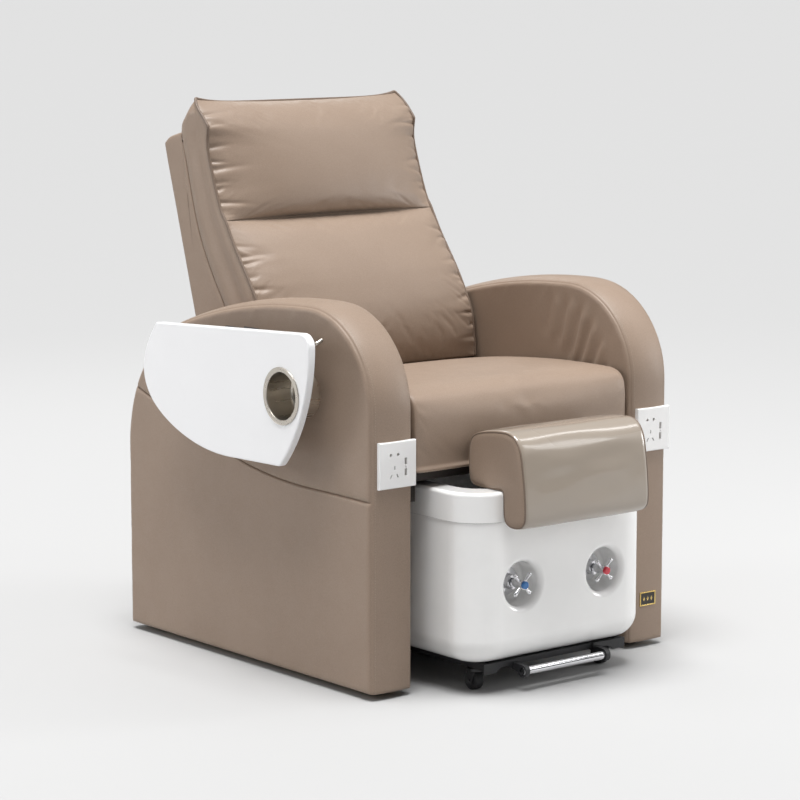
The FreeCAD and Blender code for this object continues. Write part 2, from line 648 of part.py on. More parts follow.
modules = []
for side in ("right", "left"):
    openings = [("circle", (26, 62), 3.0), ("circle", (43, 62), 3.0), ("circle", (61, 38), 1.5),
                slot((35, 38), 2.8, 7), slot((27, 23), 2.8, 8, -28), slot((41.5, 23), 2.8, 8, 28),
                slot((61, 48), 6, 13), slot((61, 28), 6, 13)]
    at = (SOCKET_LEFT_EDGES[side], -size("ArmFront") - 0.1, size("SocketHigh"))
    plate = pad("socket_blank_" + side, "XZ_Plane",
                [rectangle(0, 0, plate_side, plate_side)] + openings, size("SocketThick"), at)
    fillet("socket_plate_" + side, plate, 2.5,
           lambda edge: edge.Length > 60 and edge.BoundBox.YMax < -float(size("ArmFront")) - 7)
    margin = (plate_side - SOCKET_BOX_SIDE) / 2 + 0.3
    modules.append(box("socket_module_" + side,
                       (SOCKET_BOX_SIDE - 0.6, SOCKET_BOX_DEEP - 0.5, SOCKET_BOX_SIDE - 0.6),
                       (at[0] + margin, -size("ArmFront") + 0.1, at[2] + margin)))
group("socket_modules", *modules)
BADGE_WIDE, BADGE_HIGH = 42, 28
box("badge_plate", (BADGE_WIDE, 1.5, BADGE_HIGH), (304, -size("ArmFront") - 1.6, 83))

# --- side tray ----------------------------------------------------------------------------------

tray_face = -size("TrayOut")
tray_thick = size("TrayThick")
cup_middle = (-size("CupAhead"), size("CupHigh"))
cup_hole = float(size("CupRadius")) + 0.8


def tray_point(y, z):
    return Vector(float(tray_face), y, z)


def tray_blank():
    """Leaf-shaped board: straight top and bottom, round nose, long curve up to the rear."""
    top = Part.makeLine(tray_point(172, 653), tray_point(-312, 677))
    nose = Part.Arc(tray_point(-312, 677), tray_point(-305, 580), tray_point(-222, 423.5)).toShape()
    bottom = Part.makeLine(tray_point(-222, 423.5), tray_point(-60, 420.5))
    curve = Part.BSplineCurve()
    curve.interpolate([tray_point(y, z) for y, z in ((-60, 420.5), (24, 428), (91, 446), (154, 475),
                                                     (199, 513), (216, 556), (204, 606), (172, 653))],
                      InitialTangent=Vector(0, 1, 0), FinalTangent=Vector(0, -0.6, 0.8))
    outline = Part.Wire([top, nose, bottom, curve.toShape()])
    board = Part.Face(outline).extrude(Vector(float(tray_thick), 0, 0))
    corners = {(-312, 677): 26, (-222, 423.5): 14, (172, 653): 14}
    for (y, z), radius in corners.items():
        upright = [edge for edge in board.Edges if edge.BoundBox.XLength > 5
                   and abs(edge.BoundBox.YMin - y) < 0.5 and abs(edge.BoundBox.ZMin - z) < 0.5]
        board = board.makeFillet(radius, upright)
    rims = [edge for edge in board.Edges if edge.BoundBox.XLength < 0.1]
    board = board.makeFillet(3, rims)
    return board.cut(Part.makeCylinder(cup_hole, 60, tray_point(*cup_middle) - Vector(20, 0, 0),
                                       Vector(1, 0, 0)))


feature("tray_board", tray_blank())

# cup turned about its own axis: +Z of its own frame points out of its mouth, towards -X
cup_r = size("CupRadius")
CUP_WALL = 1.2
turned("tray_cup",
       [(0, -size("CupDeep")), ("line", (cup_r - 6, -size("CupDeep"))),
        ("arc", (cup_r - 1.8, -size("CupDeep") + 1.8), (cup_r, -size("CupDeep") + 6)),
        ("line", (cup_r, 0.3)), ("line", (size("CupFlange") - 1, 0.3)),
        ("arc", (size("CupFlange") - 0.5, 1.4), (size("CupFlange") - 2, 2)),
        ("line", (cup_r - CUP_WALL + 1, 2)), ("line", (cup_r - CUP_WALL, 0.8)),
        ("line", (cup_r - CUP_WALL, -size("CupDeep") + 6)),
        ("arc", (cup_r - 3, -size("CupDeep") + 3), (cup_r - 6, -size("CupDeep") + CUP_WALL)),
        ("line", (0, -size("CupDeep") + CUP_WALL)), ("line", (0, -size("CupDeep")))],
       (tray_face, cup_middle[0], cup_middle[1]), Rotation(Vector(0, 1, 0), -90))

axis_x = -size("TrayAxisOut")
axis_z = size("TrayAxisHigh")
HINGE_ROD = 4
HINGE_PLACES = (-205, -45)
ROD_AHEAD = 74
arm_face = -ARM_OUTER
tray_back = tray_face + tray_thick
arm_sides = []
tray_sides = []
for number, y in enumerate(HINGE_PLACES, start=1):
    reach = arm_face - axis_x
    knuckle = cylinder("arm_knuckle_%d" % number, 8, 20, (axis_x, y, axis_z), "Y")
    web = box("arm_web_%d" % number, (reach - 0.1, 20, 8), (axis_x, y, axis_z - 4))
    plate = box("arm_leaf_%d" % number, (4, 44, 44), (arm_face - 4.1, y - 12, axis_z - 40))
    bore = cylinder("arm_knuckle_bore_%d" % number, HINGE_ROD, 60, (axis_x, y - 20, axis_z), "Y")
    arm_sides.append(cut("tray_bracket_%d" % number, fuse("bracket_solid_%d" % number, knuckle, web, plate),
                         bore))
    knuckle = cylinder("tray_knuckle_%d" % number, 8, 20, (axis_x, y + 20.5, axis_z), "Y")
    web = box("tray_web_%d" % number, (axis_x - tray_back - 0.1, 20, 8),
              (tray_back + 0.1, y + 20.5, axis_z - 4))
    plate = box("tray_leaf_%d" % number, (3, 44, 52), (tray_back + 0.1, y + 8.5, axis_z - 48))
    bore = cylinder("tray_knuckle_bore_%d" % number, HINGE_ROD + size("RunningClearance"), 60,
                    (axis_x, y, axis_z), "Y")
    tray_sides.append(cut("tray_leaf_bored_%d" % number, fuse("leaf_solid_%d" % number, knuckle, web, plate),
                          bore))
group("tray_brackets", *arm_sides)
group("tray_hinge_leaves", *tray_sides)


def swept_rod(label, points, radius, bend):
    """A round bar or pipe through the points, with round bends."""
    corners = [Vector(*[float(v) for v in point]) for point in points]
    path = []
    here = corners[0]
    for index in range(1, len(corners) - 1):
        before = (corners[index - 1] - corners[index]).normalize()
        after = (corners[index + 1] - corners[index]).normalize()
        half = before.getAngle(after) / 2
        setback = bend / math.tan(half)
        start = corners[index] + before * setback
        end = corners[index] + after * setback
        middle = (before + after).normalize()
        top = corners[index] + middle * (bend / math.sin(half) - bend)
        path.append(Part.LineSegment(here, start).toShape())
        path.append(Part.Arc(start, top, end).toShape())
        here = end
    path.append(Part.LineSegment(here, corners[-1]).toShape())
    spine = Part.Wire(path)
    direction = (corners[1] - corners[0]).normalize()
    ring = Part.Wire(Part.makeCircle(float(radius), corners[0], direction))
    return feature(label, spine.makePipeShell([ring], True, True))


rod_front = HINGE_PLACES[0] - ROD_AHEAD
swept_rod("tray_hinge_rod", [(axis_x, HINGE_PLACES[1] + 48, axis_z), (axis_x, rod_front, axis_z),
                             (axis_x + 14, rod_front, axis_z + 6)], HINGE_ROD, 5)

# --- basin --------------------------------------------------------------------------------------

basin_half = float(size("BasinHalfWidth"))
basin_front = float(size("BasinFront"))
basin_rear = float(size("BasinRear"))
basin_middle = -(basin_front + basin_rear) / 2
basin_half_long = (basin_front - basin_rear) / 2
basin_corner = float(size("BasinCorner"))
basin_bottom = float(size("BasinBottom"))
basin_seam = float(size("BasinSeam"))
basin_top = float(size("BasinTop"))
basin_wall = float(size("BasinWall"))


def round_rectangle(half_x, half_y, radius, middle_y, height):
    """A wire with round corners in a level plane."""
    corners = ((1, 1, 0), (-1, 1, 90), (-1, -1, 180), (1, -1, 270))
    edges = []
    ends = []
    for sign_x, sign_y, start in corners:
        centre_point = Vector(sign_x * (half_x - radius), middle_y + sign_y * (half_y - radius), height)
        arc = Part.makeCircle(radius, centre_point, Vector(0, 0, 1), start, start + 90)
        edges.append(arc)
        ends.append((arc.Vertexes[0].Point, arc.Vertexes[-1].Point))
    sides = [Part.makeLine(ends[index][1], ends[(index + 1) % 4][0]) for index in range(4)]
    return Part.Wire([edge for pair in zip(edges, sides) for edge in pair])


def level_block(inset, low, high):
    """A block with the basin's plan, inset all round."""
    wire = round_rectangle(basin_half - inset, basin_half_long - inset, basin_corner - inset,
                           basin_middle, low)
    return Part.Face(wire).extrude(Vector(0, 0, high - low))


def at_height(shape, height):
    return [edge for edge in shape.Edges
            if abs(edge.BoundBox.ZMin - height) < 0.01 and abs(edge.BoundBox.ZMax - height) < 0.01]


bottom_round = float(size("BasinBottomRadius"))
body_inset = 2.0
outer = level_block(body_inset, basin_bottom, basin_seam - 1)
outer = outer.makeFillet(bottom_round, at_height(outer, basin_bottom))
hollow_inset = body_inset + basin_wall
hollow = level_block(hollow_inset, basin_bottom + basin_wall, basin_seam + 5)
hollow = hollow.makeFillet(bottom_round - basin_wall, at_height(hollow, basin_bottom + basin_wall))
shell = outer.cut(hollow)
face_y = -basin_front + body_inset
tap_high = float(size("TapHigh"))
tap_half = float(size("TapApart")) / 2
recess_r = float(size("RecessRadius"))
recess_deep = float(size("RecessDepth"))
recess_lip = float(size("RecessLip"))
for sign in (-1, 1):
    mouth = Vector(sign * tap_half, face_y, tap_high)
    into = Vector(0, 1, 0)
    shell = shell.fuse(Part.makeCylinder(recess_r + basin_wall, recess_deep + basin_wall, mouth, into))
    shell = shell.fuse(Part.makeCylinder(recess_r + recess_lip + basin_wall, recess_lip + 2, mouth, into))
    shell = shell.cut(Part.makeCylinder(recess_r, recess_deep, mouth, into))
    shell = shell.cut(Part.makeCylinder(12.5, 40, mouth + Vector(0, recess_deep - 5, 0), into))
shell = shell.removeSplitter()
lips = [edge for edge in shell.Edges
        if hasattr(edge.Curve, "Radius") and abs(edge.Curve.Radius - recess_r) < 0.01
        and abs(edge.BoundBox.YMin - face_y) < 0.01 and edge.BoundBox.YLength < 0.01]
shell = shell.makeFillet(recess_lip, lips)
floors = [edge for edge in shell.Edges
          if hasattr(edge.Curve, "Radius") and abs(edge.Curve.Radius - recess_r) < 0.01
          and abs(edge.BoundBox.YMin - face_y - recess_deep) < 0.01 and edge.BoundBox.YLength < 0.01]
shell = shell.makeFillet(7, floors)
DRAIN_LEVEL, DRAIN_PIPE = 79, 16
SUPPLY_LEVEL, SUPPLY_PIPE, SUPPLY_EXIT = 88, 6, 60
pipe_exits = [(0, DRAIN_LEVEL, DRAIN_PIPE), (-SUPPLY_EXIT, SUPPLY_LEVEL, SUPPLY_PIPE),
              (SUPPLY_EXIT, SUPPLY_LEVEL, SUPPLY_PIPE)]
for x, z, radius in pipe_exits:
    hole = Part.makeCylinder(radius + 0.4, 65, Vector(x, -basin_rear - 50, z), Vector(0, 1, 0))
    shell = shell.cut(hole)
feature("basin_shell", shell)

# rim: a channel that caps the body, its inner edge carries the bowl's flange
rim_wide = float(size("RimWide"))
rim_thick = float(size("RimThick"))
rim = level_block(0, basin_seam, basin_top)
rim = rim.makeFillet(7, at_height(rim, basin_top))
channel = level_block(rim_thick, basin_seam - 1, basin_top - rim_thick)
rim = rim.cut(channel)
mouth_half = basin_half - rim_wide
mouth_half_long = basin_half_long - rim_wide
mouth_radius = basin_corner - 20
opening = Part.Face(round_rectangle(mouth_half, mouth_half_long, mouth_radius, basin_middle,
                                    basin_top - 20)).extrude(Vector(0, 0, 40))
rim = rim.cut(opening)
inner_lip = [edge for edge in at_height(rim, basin_top) if edge.BoundBox.XMax < mouth_half + 0.01]
feature("basin_rim", rim.makeFillet(2.5, inner_lip))

bowl_floor = float(size("BowlFloor"))
bowl_wall = float(size("BowlWall"))
flange_top = basin_top - rim_thick - 0.2
FLOOR_HALF, FLOOR_HALF_LONG, FLOOR_AHEAD, FLOOR_CORNER = 140, 118, -270, 50


def bowl_block(grow, bottom, top):
    """Tapered block between the mouth and the floor of the bowl, larger by `grow`."""
    wires = [round_rectangle(FLOOR_HALF + grow, FLOOR_HALF_LONG + grow, FLOOR_CORNER + grow,
                             FLOOR_AHEAD, bottom),
             round_rectangle(mouth_half + grow, mouth_half_long + grow, mouth_radius + grow,
                             basin_middle, top)]
    return Part.makeLoft(wires, True, True)


bowl_hollow = bowl_block(0, bowl_floor, flange_top)
bowl_hollow = bowl_hollow.makeFillet(22, at_height(bowl_hollow, bowl_floor))
bowl_body = bowl_block(bowl_wall, bowl_floor - bowl_wall, flange_top)
bowl_body = bowl_body.makeFillet(26, at_height(bowl_body, bowl_floor - bowl_wall))
flange = Part.Face(round_rectangle(basin_half - rim_thick - 1, basin_half_long - rim_thick - 1,
                                   basin_corner - rim_thick - 1, basin_middle, flange_top - 5)
                   ).extrude(Vector(0, 0, 5))
bowl = bowl_body.fuse(flange).cut(bowl_hollow)
drain_y = FLOOR_AHEAD
bowl = bowl.cut(Part.makeCylinder(22, 40, Vector(0, drain_y, bowl_floor - 20)))
SPOUT_Z = 330
spout_share = (flange_top - SPOUT_Z) / (flange_top - bowl_floor)
mouth_front = basin_middle - mouth_half_long
floor_front = FLOOR_AHEAD - FLOOR_HALF_LONG
spout_y = mouth_front + spout_share * (floor_front - mouth_front)
bowl = bowl.cut(Part.makeCylinder(9.3, 60, Vector(0, spout_y - 30, SPOUT_Z), Vector(0, 1, 0)))
feature("basin_bowl", bowl.removeSplitter())

# drain: strainer clamped in the bowl's floor, rubber plug, pipe to the back of the body
TAIL_INNER, TAIL_OUTER, TAIL_DEEP = 15, 18.5, 16
strainer = [(TAIL_OUTER, bowl_floor + 0.1), ("line", (31, bowl_floor + 0.1)),
            ("line", (29, bowl_floor + 2)), ("line", (17, bowl_floor + 2)),
            ("line", (TAIL_INNER, bowl_floor)), ("line", (TAIL_INNER, bowl_floor - TAIL_DEEP)),
            ("line", (TAIL_OUTER, bowl_floor - TAIL_DEEP)), ("line", (TAIL_OUTER, bowl_floor + 0.1))]
turned("drain_strainer", strainer, (0, drain_y, 0))
plug = [(0, bowl_floor - 7), ("line", (13.5, bowl_floor - 7)), ("line", (14.5, bowl_floor + 2.4)),
        ("line", (20, bowl_floor + 2.4)), ("arc", (19, bowl_floor + 5), (15, bowl_floor + 6)),
        ("line", (4, bowl_floor + 6)), ("line", (4, bowl_floor + 14)), ("line", (0, bowl_floor + 14)),
        ("line", (0, bowl_floor - 7))]
turned("drain_plug", plug, (0, drain_y, 0))
swept_rod("drain_pipe",
          [(0, drain_y, bowl_floor - TAIL_DEEP - 0.3), (0, drain_y, DRAIN_LEVEL),
           (0, -basin_rear + 34, DRAIN_LEVEL)],
          DRAIN_PIPE, DRAIN_PIPE + 0.2)

# --- taps ---------------------------------------------------------------------------------------

recess_floor = face_y + recess_deep
valve_parts = []
for side, sign in (("cold", -1), ("hot", 1)):
    x = sign * tap_half
    valve_parts.append(fuse(
        "valve_" + side,
        cylinder("valve_flange_" + side, 27, 5, (x, recess_floor - 5.2, tap_high), "Y"),
        cylinder("valve_tail_" + side, 12.2, 25, (x, recess_floor - 1, tap_high), "Y"),
        cone("valve_bonnet_" + side, 13, 15, 18, (x, recess_floor - 23, tap_high), "Y"),
        cylinder("valve_spindle_" + side, 5, 22, (x, recess_floor - 40, tap_high), "Y")))
group("valve_bodies", *valve_parts)

HANDLE_REACH = 28
CAP_THICK = 4.5
hub_front = face_y - 4
hub_back = recess_floor - 25
for side, sign in (("cold", -1), ("hot", 1)):
    x = sign * tap_half
    hub = cone("hub_" + side, 9, 8, hub_back - hub_front, (x, hub_front, tap_high), "Y")
    spokes = []
    for number in range(4):
        turn = math.radians(45 + 90 * number)
        out = Vector(math.cos(turn), 0, math.sin(turn))
        middle = Vector(x, hub_front + 7, tap_high)
        bar = Part.makeCone(2.6, 3.6, HANDLE_REACH - 9, middle + out * 5, out)
        knob = Part.makeSphere(4.4, middle + out * (HANDLE_REACH - 4))
        spokes.append(feature("spoke_%s_%d" % (side, number), bar.fuse(knob)))
    hub_bore = cylinder("hub_bore_" + side, 5 + size("RunningClearance"), 60,
                        (x, hub_front + 12, tap_high), "Y")
    cut("tap_handle_" + side, fuse("tap_cross_" + side, hub, *spokes), hub_bore)
    cap_front = hub_front - CAP_THICK - 0.1
    cap = cylinder("cap_blank_" + side, 7.5, CAP_THICK, (x, cap_front, tap_high), "Y")
    fillet("tap_cap_" + side, cap, 2.2,
           lambda edge: abs(edge.BoundBox.YMax - cap_front) < 0.1 and edge.BoundBox.YLength < 0.1)

# spout into the bowl, and the pipes between the bowl and the body
SPOUT_PIPE = 9
spout_start = spout_y - 14
swept_rod("basin_spout",
          [(0, spout_start, SPOUT_Z), (0, spout_y + 22, SPOUT_Z), (0, spout_y + 34, SPOUT_Z - 18)],
          SPOUT_PIPE, SPOUT_PIPE + 0.5)
PIPE_BEND = 14
VALVE_TAIL = 12.5
MIXED_LEVEL = 150
RISER_Y = -480
mixed_y = recess_floor + 25.5
swept_rod("mixed_pipe",
          [(-tap_half, mixed_y, tap_high - VALVE_TAIL), (-tap_half, mixed_y, MIXED_LEVEL),
           (tap_half, mixed_y, MIXED_LEVEL), (tap_half, mixed_y, tap_high - VALVE_TAIL)],
          SUPPLY_PIPE, PIPE_BEND)
swept_rod("riser_pipe",
          [(0, mixed_y - SUPPLY_PIPE - 0.3, MIXED_LEVEL), (0, RISER_Y, MIXED_LEVEL),
           (0, RISER_Y, SPOUT_Z), (0, spout_start - 0.3, SPOUT_Z)],
          SUPPLY_PIPE, PIPE_BEND)
SUPPLY_SIDE = 190
supply_y = mixed_y - 12
supply_turn = -basin_rear - 40
for side, sign in (("cold", -1), ("hot", 1)):
    swept_rod("supply_pipe_" + side,
              [(sign * (tap_half + VALVE_TAIL), supply_y, tap_high),
               (sign * SUPPLY_SIDE, supply_y, tap_high),
               (sign * SUPPLY_SIDE, supply_turn, tap_high),
               (sign * SUPPLY_SIDE, supply_turn, SUPPLY_LEVEL),
               (sign * SUPPLY_EXIT, supply_turn, SUPPLY_LEVEL),
               (sign * SUPPLY_EXIT, -basin_rear + 26, SUPPLY_LEVEL)],
              SUPPLY_PIPE, PIPE_BEND)
group("water_pipes", *[doc.getObject(name) for name in
                       ("mixed_pipe", "riser_pipe", "supply_pipe_cold", "supply_pipe_hot")])

# --- trolley ------------------------------------------------------------------------------------

frame_under = size("FrameUnder")
FRAME_HIGH = 11.5
FRAME_HALF, FRAME_FRONT, FRAME_REAR, FRAME_BAR = 178, -478, -100, 26
ring = pad("trolley_ring", "XY_Plane",
           [rectangle(-FRAME_HALF, FRAME_FRONT, FRAME_HALF, FRAME_REAR),
            rectangle(-FRAME_HALF + FRAME_BAR, FRAME_FRONT + FRAME_BAR, -13, FRAME_REAR - FRAME_BAR),
            rectangle(13, FRAME_FRONT + FRAME_BAR, FRAME_HALF - FRAME_BAR, FRAME_REAR - FRAME_BAR)],
           FRAME_HIGH, (0, 0, frame_under))
caster_half = size("CasterApart") / 2
caster_places = {"front_right": (-caster_half, -size("CasterFront")),
                 "front_left": (caster_half, -size("CasterFront")),
                 "rear_right": (-caster_half, -size("CasterRear")),
                 "rear_left": (caster_half, -size("CasterRear"))}
BAR_Y, BAR_Z, BAR_RADIUS, BAR_HALF = -507, 39, 8, 106
APRON_THICK = 4
holders = []
for side, sign in (("right", -1), ("left", 1)):
    middle = sign * (BAR_HALF - 4)
    holders.append(pad("bar_holder_" + side, "YZ_Plane",
                       [[(BAR_Y - 11, BAR_Z), ("arc", (BAR_Y, BAR_Z - 12), (BAR_Y + 11, BAR_Z - 4)),
                         ("line", (FRAME_FRONT + 20, frame_under + 1)),
                         ("line", (FRAME_FRONT + 20, frame_under + 8)),
                         ("line", (BAR_Y, BAR_Z + 12)),
                         ("arc", (BAR_Y - 8.5, BAR_Z + 8.5), (BAR_Y - 11, BAR_Z))]],
                       10, (middle - 5, 0, 0)))
    # plate with an arched lower edge that hides the caster's head
    far, near = sorted((sign * FRAME_HALF, sign * (BAR_HALF - 9)), key=abs, reverse=True)
    apron_top, apron_low, arch = frame_under + FRAME_HIGH, frame_under - 8, frame_under + 2
    wide, narrow = far - sign * 30, near + sign * 8
    holders.append(pad("apron_" + side, "XZ_Plane",
                       [[(far, apron_top), ("line", (far, apron_low)), ("line", (wide, apron_low)),
                         ("arc", ((wide + narrow) / 2, arch), (narrow, apron_low)),
                         ("line", (near, apron_low)), ("line", (near, apron_top)),
                         ("line", (far, apron_top))]],
                       APRON_THICK, (0, FRAME_FRONT + 0.5, 0)))
bar_hole = cylinder("bar_hole", BAR_RADIUS, 2 * BAR_HALF + 40, (-BAR_HALF - 20, BAR_Y, BAR_Z), "X")
kingpin_holes = [cylinder("kingpin_hole_" + name, 5, 30, (x, y, 40))
                 for name, (x, y) in caster_places.items()]
FOOT_AHEAD = -468
feet_places = [(-caster_half, FOOT_AHEAD), (caster_half, FOOT_AHEAD)]
foot_holes = [cylinder("foot_hole_%d" % number, 4, 30, (x, y, 40))
              for number, (x, y) in enumerate(feet_places)]
cut("trolley_frame", fuse("trolley_welded", ring, *holders), bar_hole, *kingpin_holes, *foot_holes)
bar = cylinder("bar_stock", BAR_RADIUS - 0.02, 2 * BAR_HALF, (-BAR_HALF, BAR_Y, BAR_Z), "X")
fillet("pull_bar", bar, 2, lambda edge: edge.BoundBox.XLength < 0.1)

feet = []
for number, (x, y) in enumerate(feet_places, start=1):
    outline = [(0, 33), ("arc", (6, 35), (8, 40)), ("line", (8, 43)), ("line", (3.95, 43)),
               ("line", (3.95, 56)), ("line", (0, 56)), ("line", (0, 33))]
    feet.append(turned("levelling_foot_%d" % number, outline, (x, y, 0)))
group("levelling_feet", *feet)

wheel_radius = size("WheelRadius")
wheel_wide = size("WheelWide")
CROWN_LOW, CROWN_HIGH = 38, 43
mounts = []
for name, (x, y) in caster_places.items():
    pin = [(0, CROWN_LOW - 0.6), ("line", (7, CROWN_LOW - 0.6)), ("line", (7, CROWN_LOW - 0.1)),
           ("line", (4, CROWN_LOW - 0.1)), ("line", (4, CROWN_HIGH + 0.3)),
           ("line", (11, CROWN_HIGH + 0.3)), ("line", (11, frame_under - 0.1)),
           ("line", (4.9, frame_under - 0.1)), ("line", (4.9, frame_under + 11)),
           ("line", (0, frame_under + 11)), ("line", (0, CROWN_LOW - 0.6))]
    mounts.append(turned("kingpin_" + name, pin, (x, y, 0)))
    crown_blank = cylinder("crown_" + name, 18, CROWN_HIGH - CROWN_LOW, (x, y, CROWN_LOW))
    axle_y = y + size("CasterTrail")
    cheeks = []
    for hand, sign in (("a", -1), ("b", 1)):
        cheek_x = x + wheel_wide / 2 + 0.6 if sign > 0 else x - wheel_wide / 2 - 3.6
        cheeks.append(pad("cheek_%s_%s" % (hand, name), "YZ_Plane",
                          [[(-9, 0), ("arc", (0, -9), (9, 0)), ("line", (6, CROWN_HIGH - wheel_radius)),
                            ("line", (-16, CROWN_HIGH - wheel_radius)), ("line", (-9, 0))]],
                          3, (cheek_x, axle_y, wheel_radius)))
    axle = cylinder("axle_" + name, 3, wheel_wide + 10, (x - wheel_wide / 2 - 5, axle_y, wheel_radius), "X")
    crown_hole = cylinder("crown_hole_" + name, 4 + size("RunningClearance"), 20, (x, y, CROWN_LOW - 5))
    crown = cut("crown_bored_" + name, crown_blank, crown_hole)
    fuse("caster_fork_" + name, crown, *cheeks, axle)
    tread = [(3 + size("RunningClearance"), -wheel_wide / 2), ("line", (wheel_radius - 2.5, -wheel_wide / 2)),
             ("arc", (wheel_radius - 0.7, -wheel_wide / 2 + 0.8), (wheel_radius, -wheel_wide / 2 + 3)),
             ("line", (wheel_radius, wheel_wide / 2 - 3)),
             ("arc", (wheel_radius - 0.7, wheel_wide / 2 - 0.8), (wheel_radius - 2.5, wheel_wide / 2)),
             ("line", (3 + size("RunningClearance"), wheel_wide / 2)),
             ("line", (3 + size("RunningClearance"), -wheel_wide / 2))]
    turned("caster_wheel_" + name, tread, (x, axle_y, wheel_radius), Rotation(Vector(0, 1, 0), 90))
group("caster_mounts", *mounts)

# --- foot rest pad ------------------------------------------------------------------------------

pad_front = -size("PadFront")
pad_rear = -size("PadRear")
pad_top = size("PadTop")
pad_low = size("PadBottom")
rim_front = -size("BasinFront")
BOARD_THICK = 7
board_under = size("BasinTop") + 0.3
board_top = board_under + BOARD_THICK
hook_front = rim_front - 0.5 - BOARD_THICK
pad("footrest_pad", "YZ_Plane",
    [[(pad_rear, board_top + 18), ("line", (pad_rear, pad_top - 40)),
      ("arc", (pad_rear - 11, pad_top - 11), (pad_rear - 42, pad_top)),
      ("line", (pad_front + 62, pad_top)),
      ("arc", (pad_front + 22, pad_top - 13), (pad_front + 6, pad_top - 50)),
      ("line", (pad_front, pad_low + 20)),
      ("arc", (pad_front + 9, pad_low + 4), (pad_front + 24, pad_low)),
      ("line", (hook_front - 14, pad_low)),
      ("arc", (hook_front - 4, pad_low + 4), (hook_front - 0.3, pad_low + 14)),
      ("line", (hook_front - 0.3, board_top + 0.3)),
      ("line", (pad_rear - 14, board_top + 0.3)),
      ("arc", (pad_rear - 4, board_top + 5), (pad_rear, board_top + 18))]],
    2 * size("PadHalfWidth"), (-size("PadHalfWidth"), 0, 0))
# board under the pad: rests on the rim, hooks in front of it and locates inside its mouth
locator_front = float(rim_front) + rim_wide + 9
locator_rear = locator_front + BOARD_THICK
locator_low = board_top - 28
pad("footrest_board", "YZ_Plane",
    [lines((hook_front, pad_low + 10), (hook_front + BOARD_THICK, pad_low + 10),
           (hook_front + BOARD_THICK, board_under), (locator_front, board_under),
           (locator_front, locator_low), (locator_rear, locator_low),
           (locator_rear, board_under), (pad_rear - 16, board_under),
           (pad_rear - 16, board_top), (hook_front, board_top))],
    2 * size("PadHalfWidth") - 20, (-size("PadHalfWidth") + 10, 0, 0))

doc.recompute()

# --- checks and export --------------------------------------------------------------------------

NODES = ["arm_frames", "arm_cover_right", "arm_cover_left", "arm_glides", "seat_deck", "seat_rails",
         "rear_rails", "rear_panel", "seat_cushion", "socket_plate_right", "socket_plate_left",
         "socket_modules", "badge_plate", "pivot_brackets", "pivot_pins", "tray_brackets",
         "tray_hinge_rod", "actuator_bracket", "power_box", "mains_inlet", "switch_housing",
         "recline_button_up", "recline_button_down", "tray_board", "tray_cup", "tray_hinge_leaves",
         "back_shell", "back_frame", "back_cushion", "head_pillow", "lumbar_pillow",
         "actuator_housing", "actuator_rod", "basin_shell", "basin_rim", "basin_bowl",
         "drain_strainer", "drain_plug", "drain_pipe", "valve_bodies", "tap_handle_cold",
         "tap_handle_hot", "tap_cap_cold", "tap_cap_hot", "basin_spout", "water_pipes",
         "trolley_frame", "pull_bar", "levelling_feet", "caster_mounts", "footrest_pad",
         "footrest_board"]
NODES += ["caster_fork_" + name for name in caster_places]
NODES += ["caster_wheel_" + name for name in caster_places]

for item in doc.Objects:
    faults = [word for word in item.State if word in ("Invalid", "Error")]
    if faults:
        raise RuntimeError("%s is %s" % (item.Label, ", ".join(faults)))
os.makedirs("parts", exist_ok=True)
for name in NODES:
    thing = doc.getObject(name)
    if thing is None or thing.Shape.isNull() or not thing.Shape.isValid() or thing.Shape.Volume <= 0:
        raise RuntimeError("sub-part %s has no sound shape" % name)
    thing.Shape.exportStep("parts/%s.step" % name)
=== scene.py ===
import json
import math

import bmesh
import bpy
import numpy as np
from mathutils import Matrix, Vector, kdtree


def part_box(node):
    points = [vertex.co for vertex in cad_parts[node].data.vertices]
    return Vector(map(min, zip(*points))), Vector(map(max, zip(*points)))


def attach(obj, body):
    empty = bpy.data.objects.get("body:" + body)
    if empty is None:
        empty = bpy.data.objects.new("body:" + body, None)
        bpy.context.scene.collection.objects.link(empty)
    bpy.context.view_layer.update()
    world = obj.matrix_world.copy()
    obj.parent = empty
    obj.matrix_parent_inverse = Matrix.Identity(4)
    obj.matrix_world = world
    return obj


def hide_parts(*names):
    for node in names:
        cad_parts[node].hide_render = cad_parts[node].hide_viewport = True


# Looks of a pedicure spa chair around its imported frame.  Metres; X to the sitter's left, the chair
# faces -Y, Z up, floor at 0.

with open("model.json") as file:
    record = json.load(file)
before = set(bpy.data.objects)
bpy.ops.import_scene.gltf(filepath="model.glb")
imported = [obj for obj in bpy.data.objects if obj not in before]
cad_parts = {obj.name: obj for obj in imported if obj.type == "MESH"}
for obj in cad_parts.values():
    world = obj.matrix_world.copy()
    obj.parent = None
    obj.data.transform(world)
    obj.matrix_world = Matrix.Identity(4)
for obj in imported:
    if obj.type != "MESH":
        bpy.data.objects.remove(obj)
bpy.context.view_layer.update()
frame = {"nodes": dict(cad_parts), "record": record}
scene = bpy.context.scene
MM = 0.001


# --- materials ---

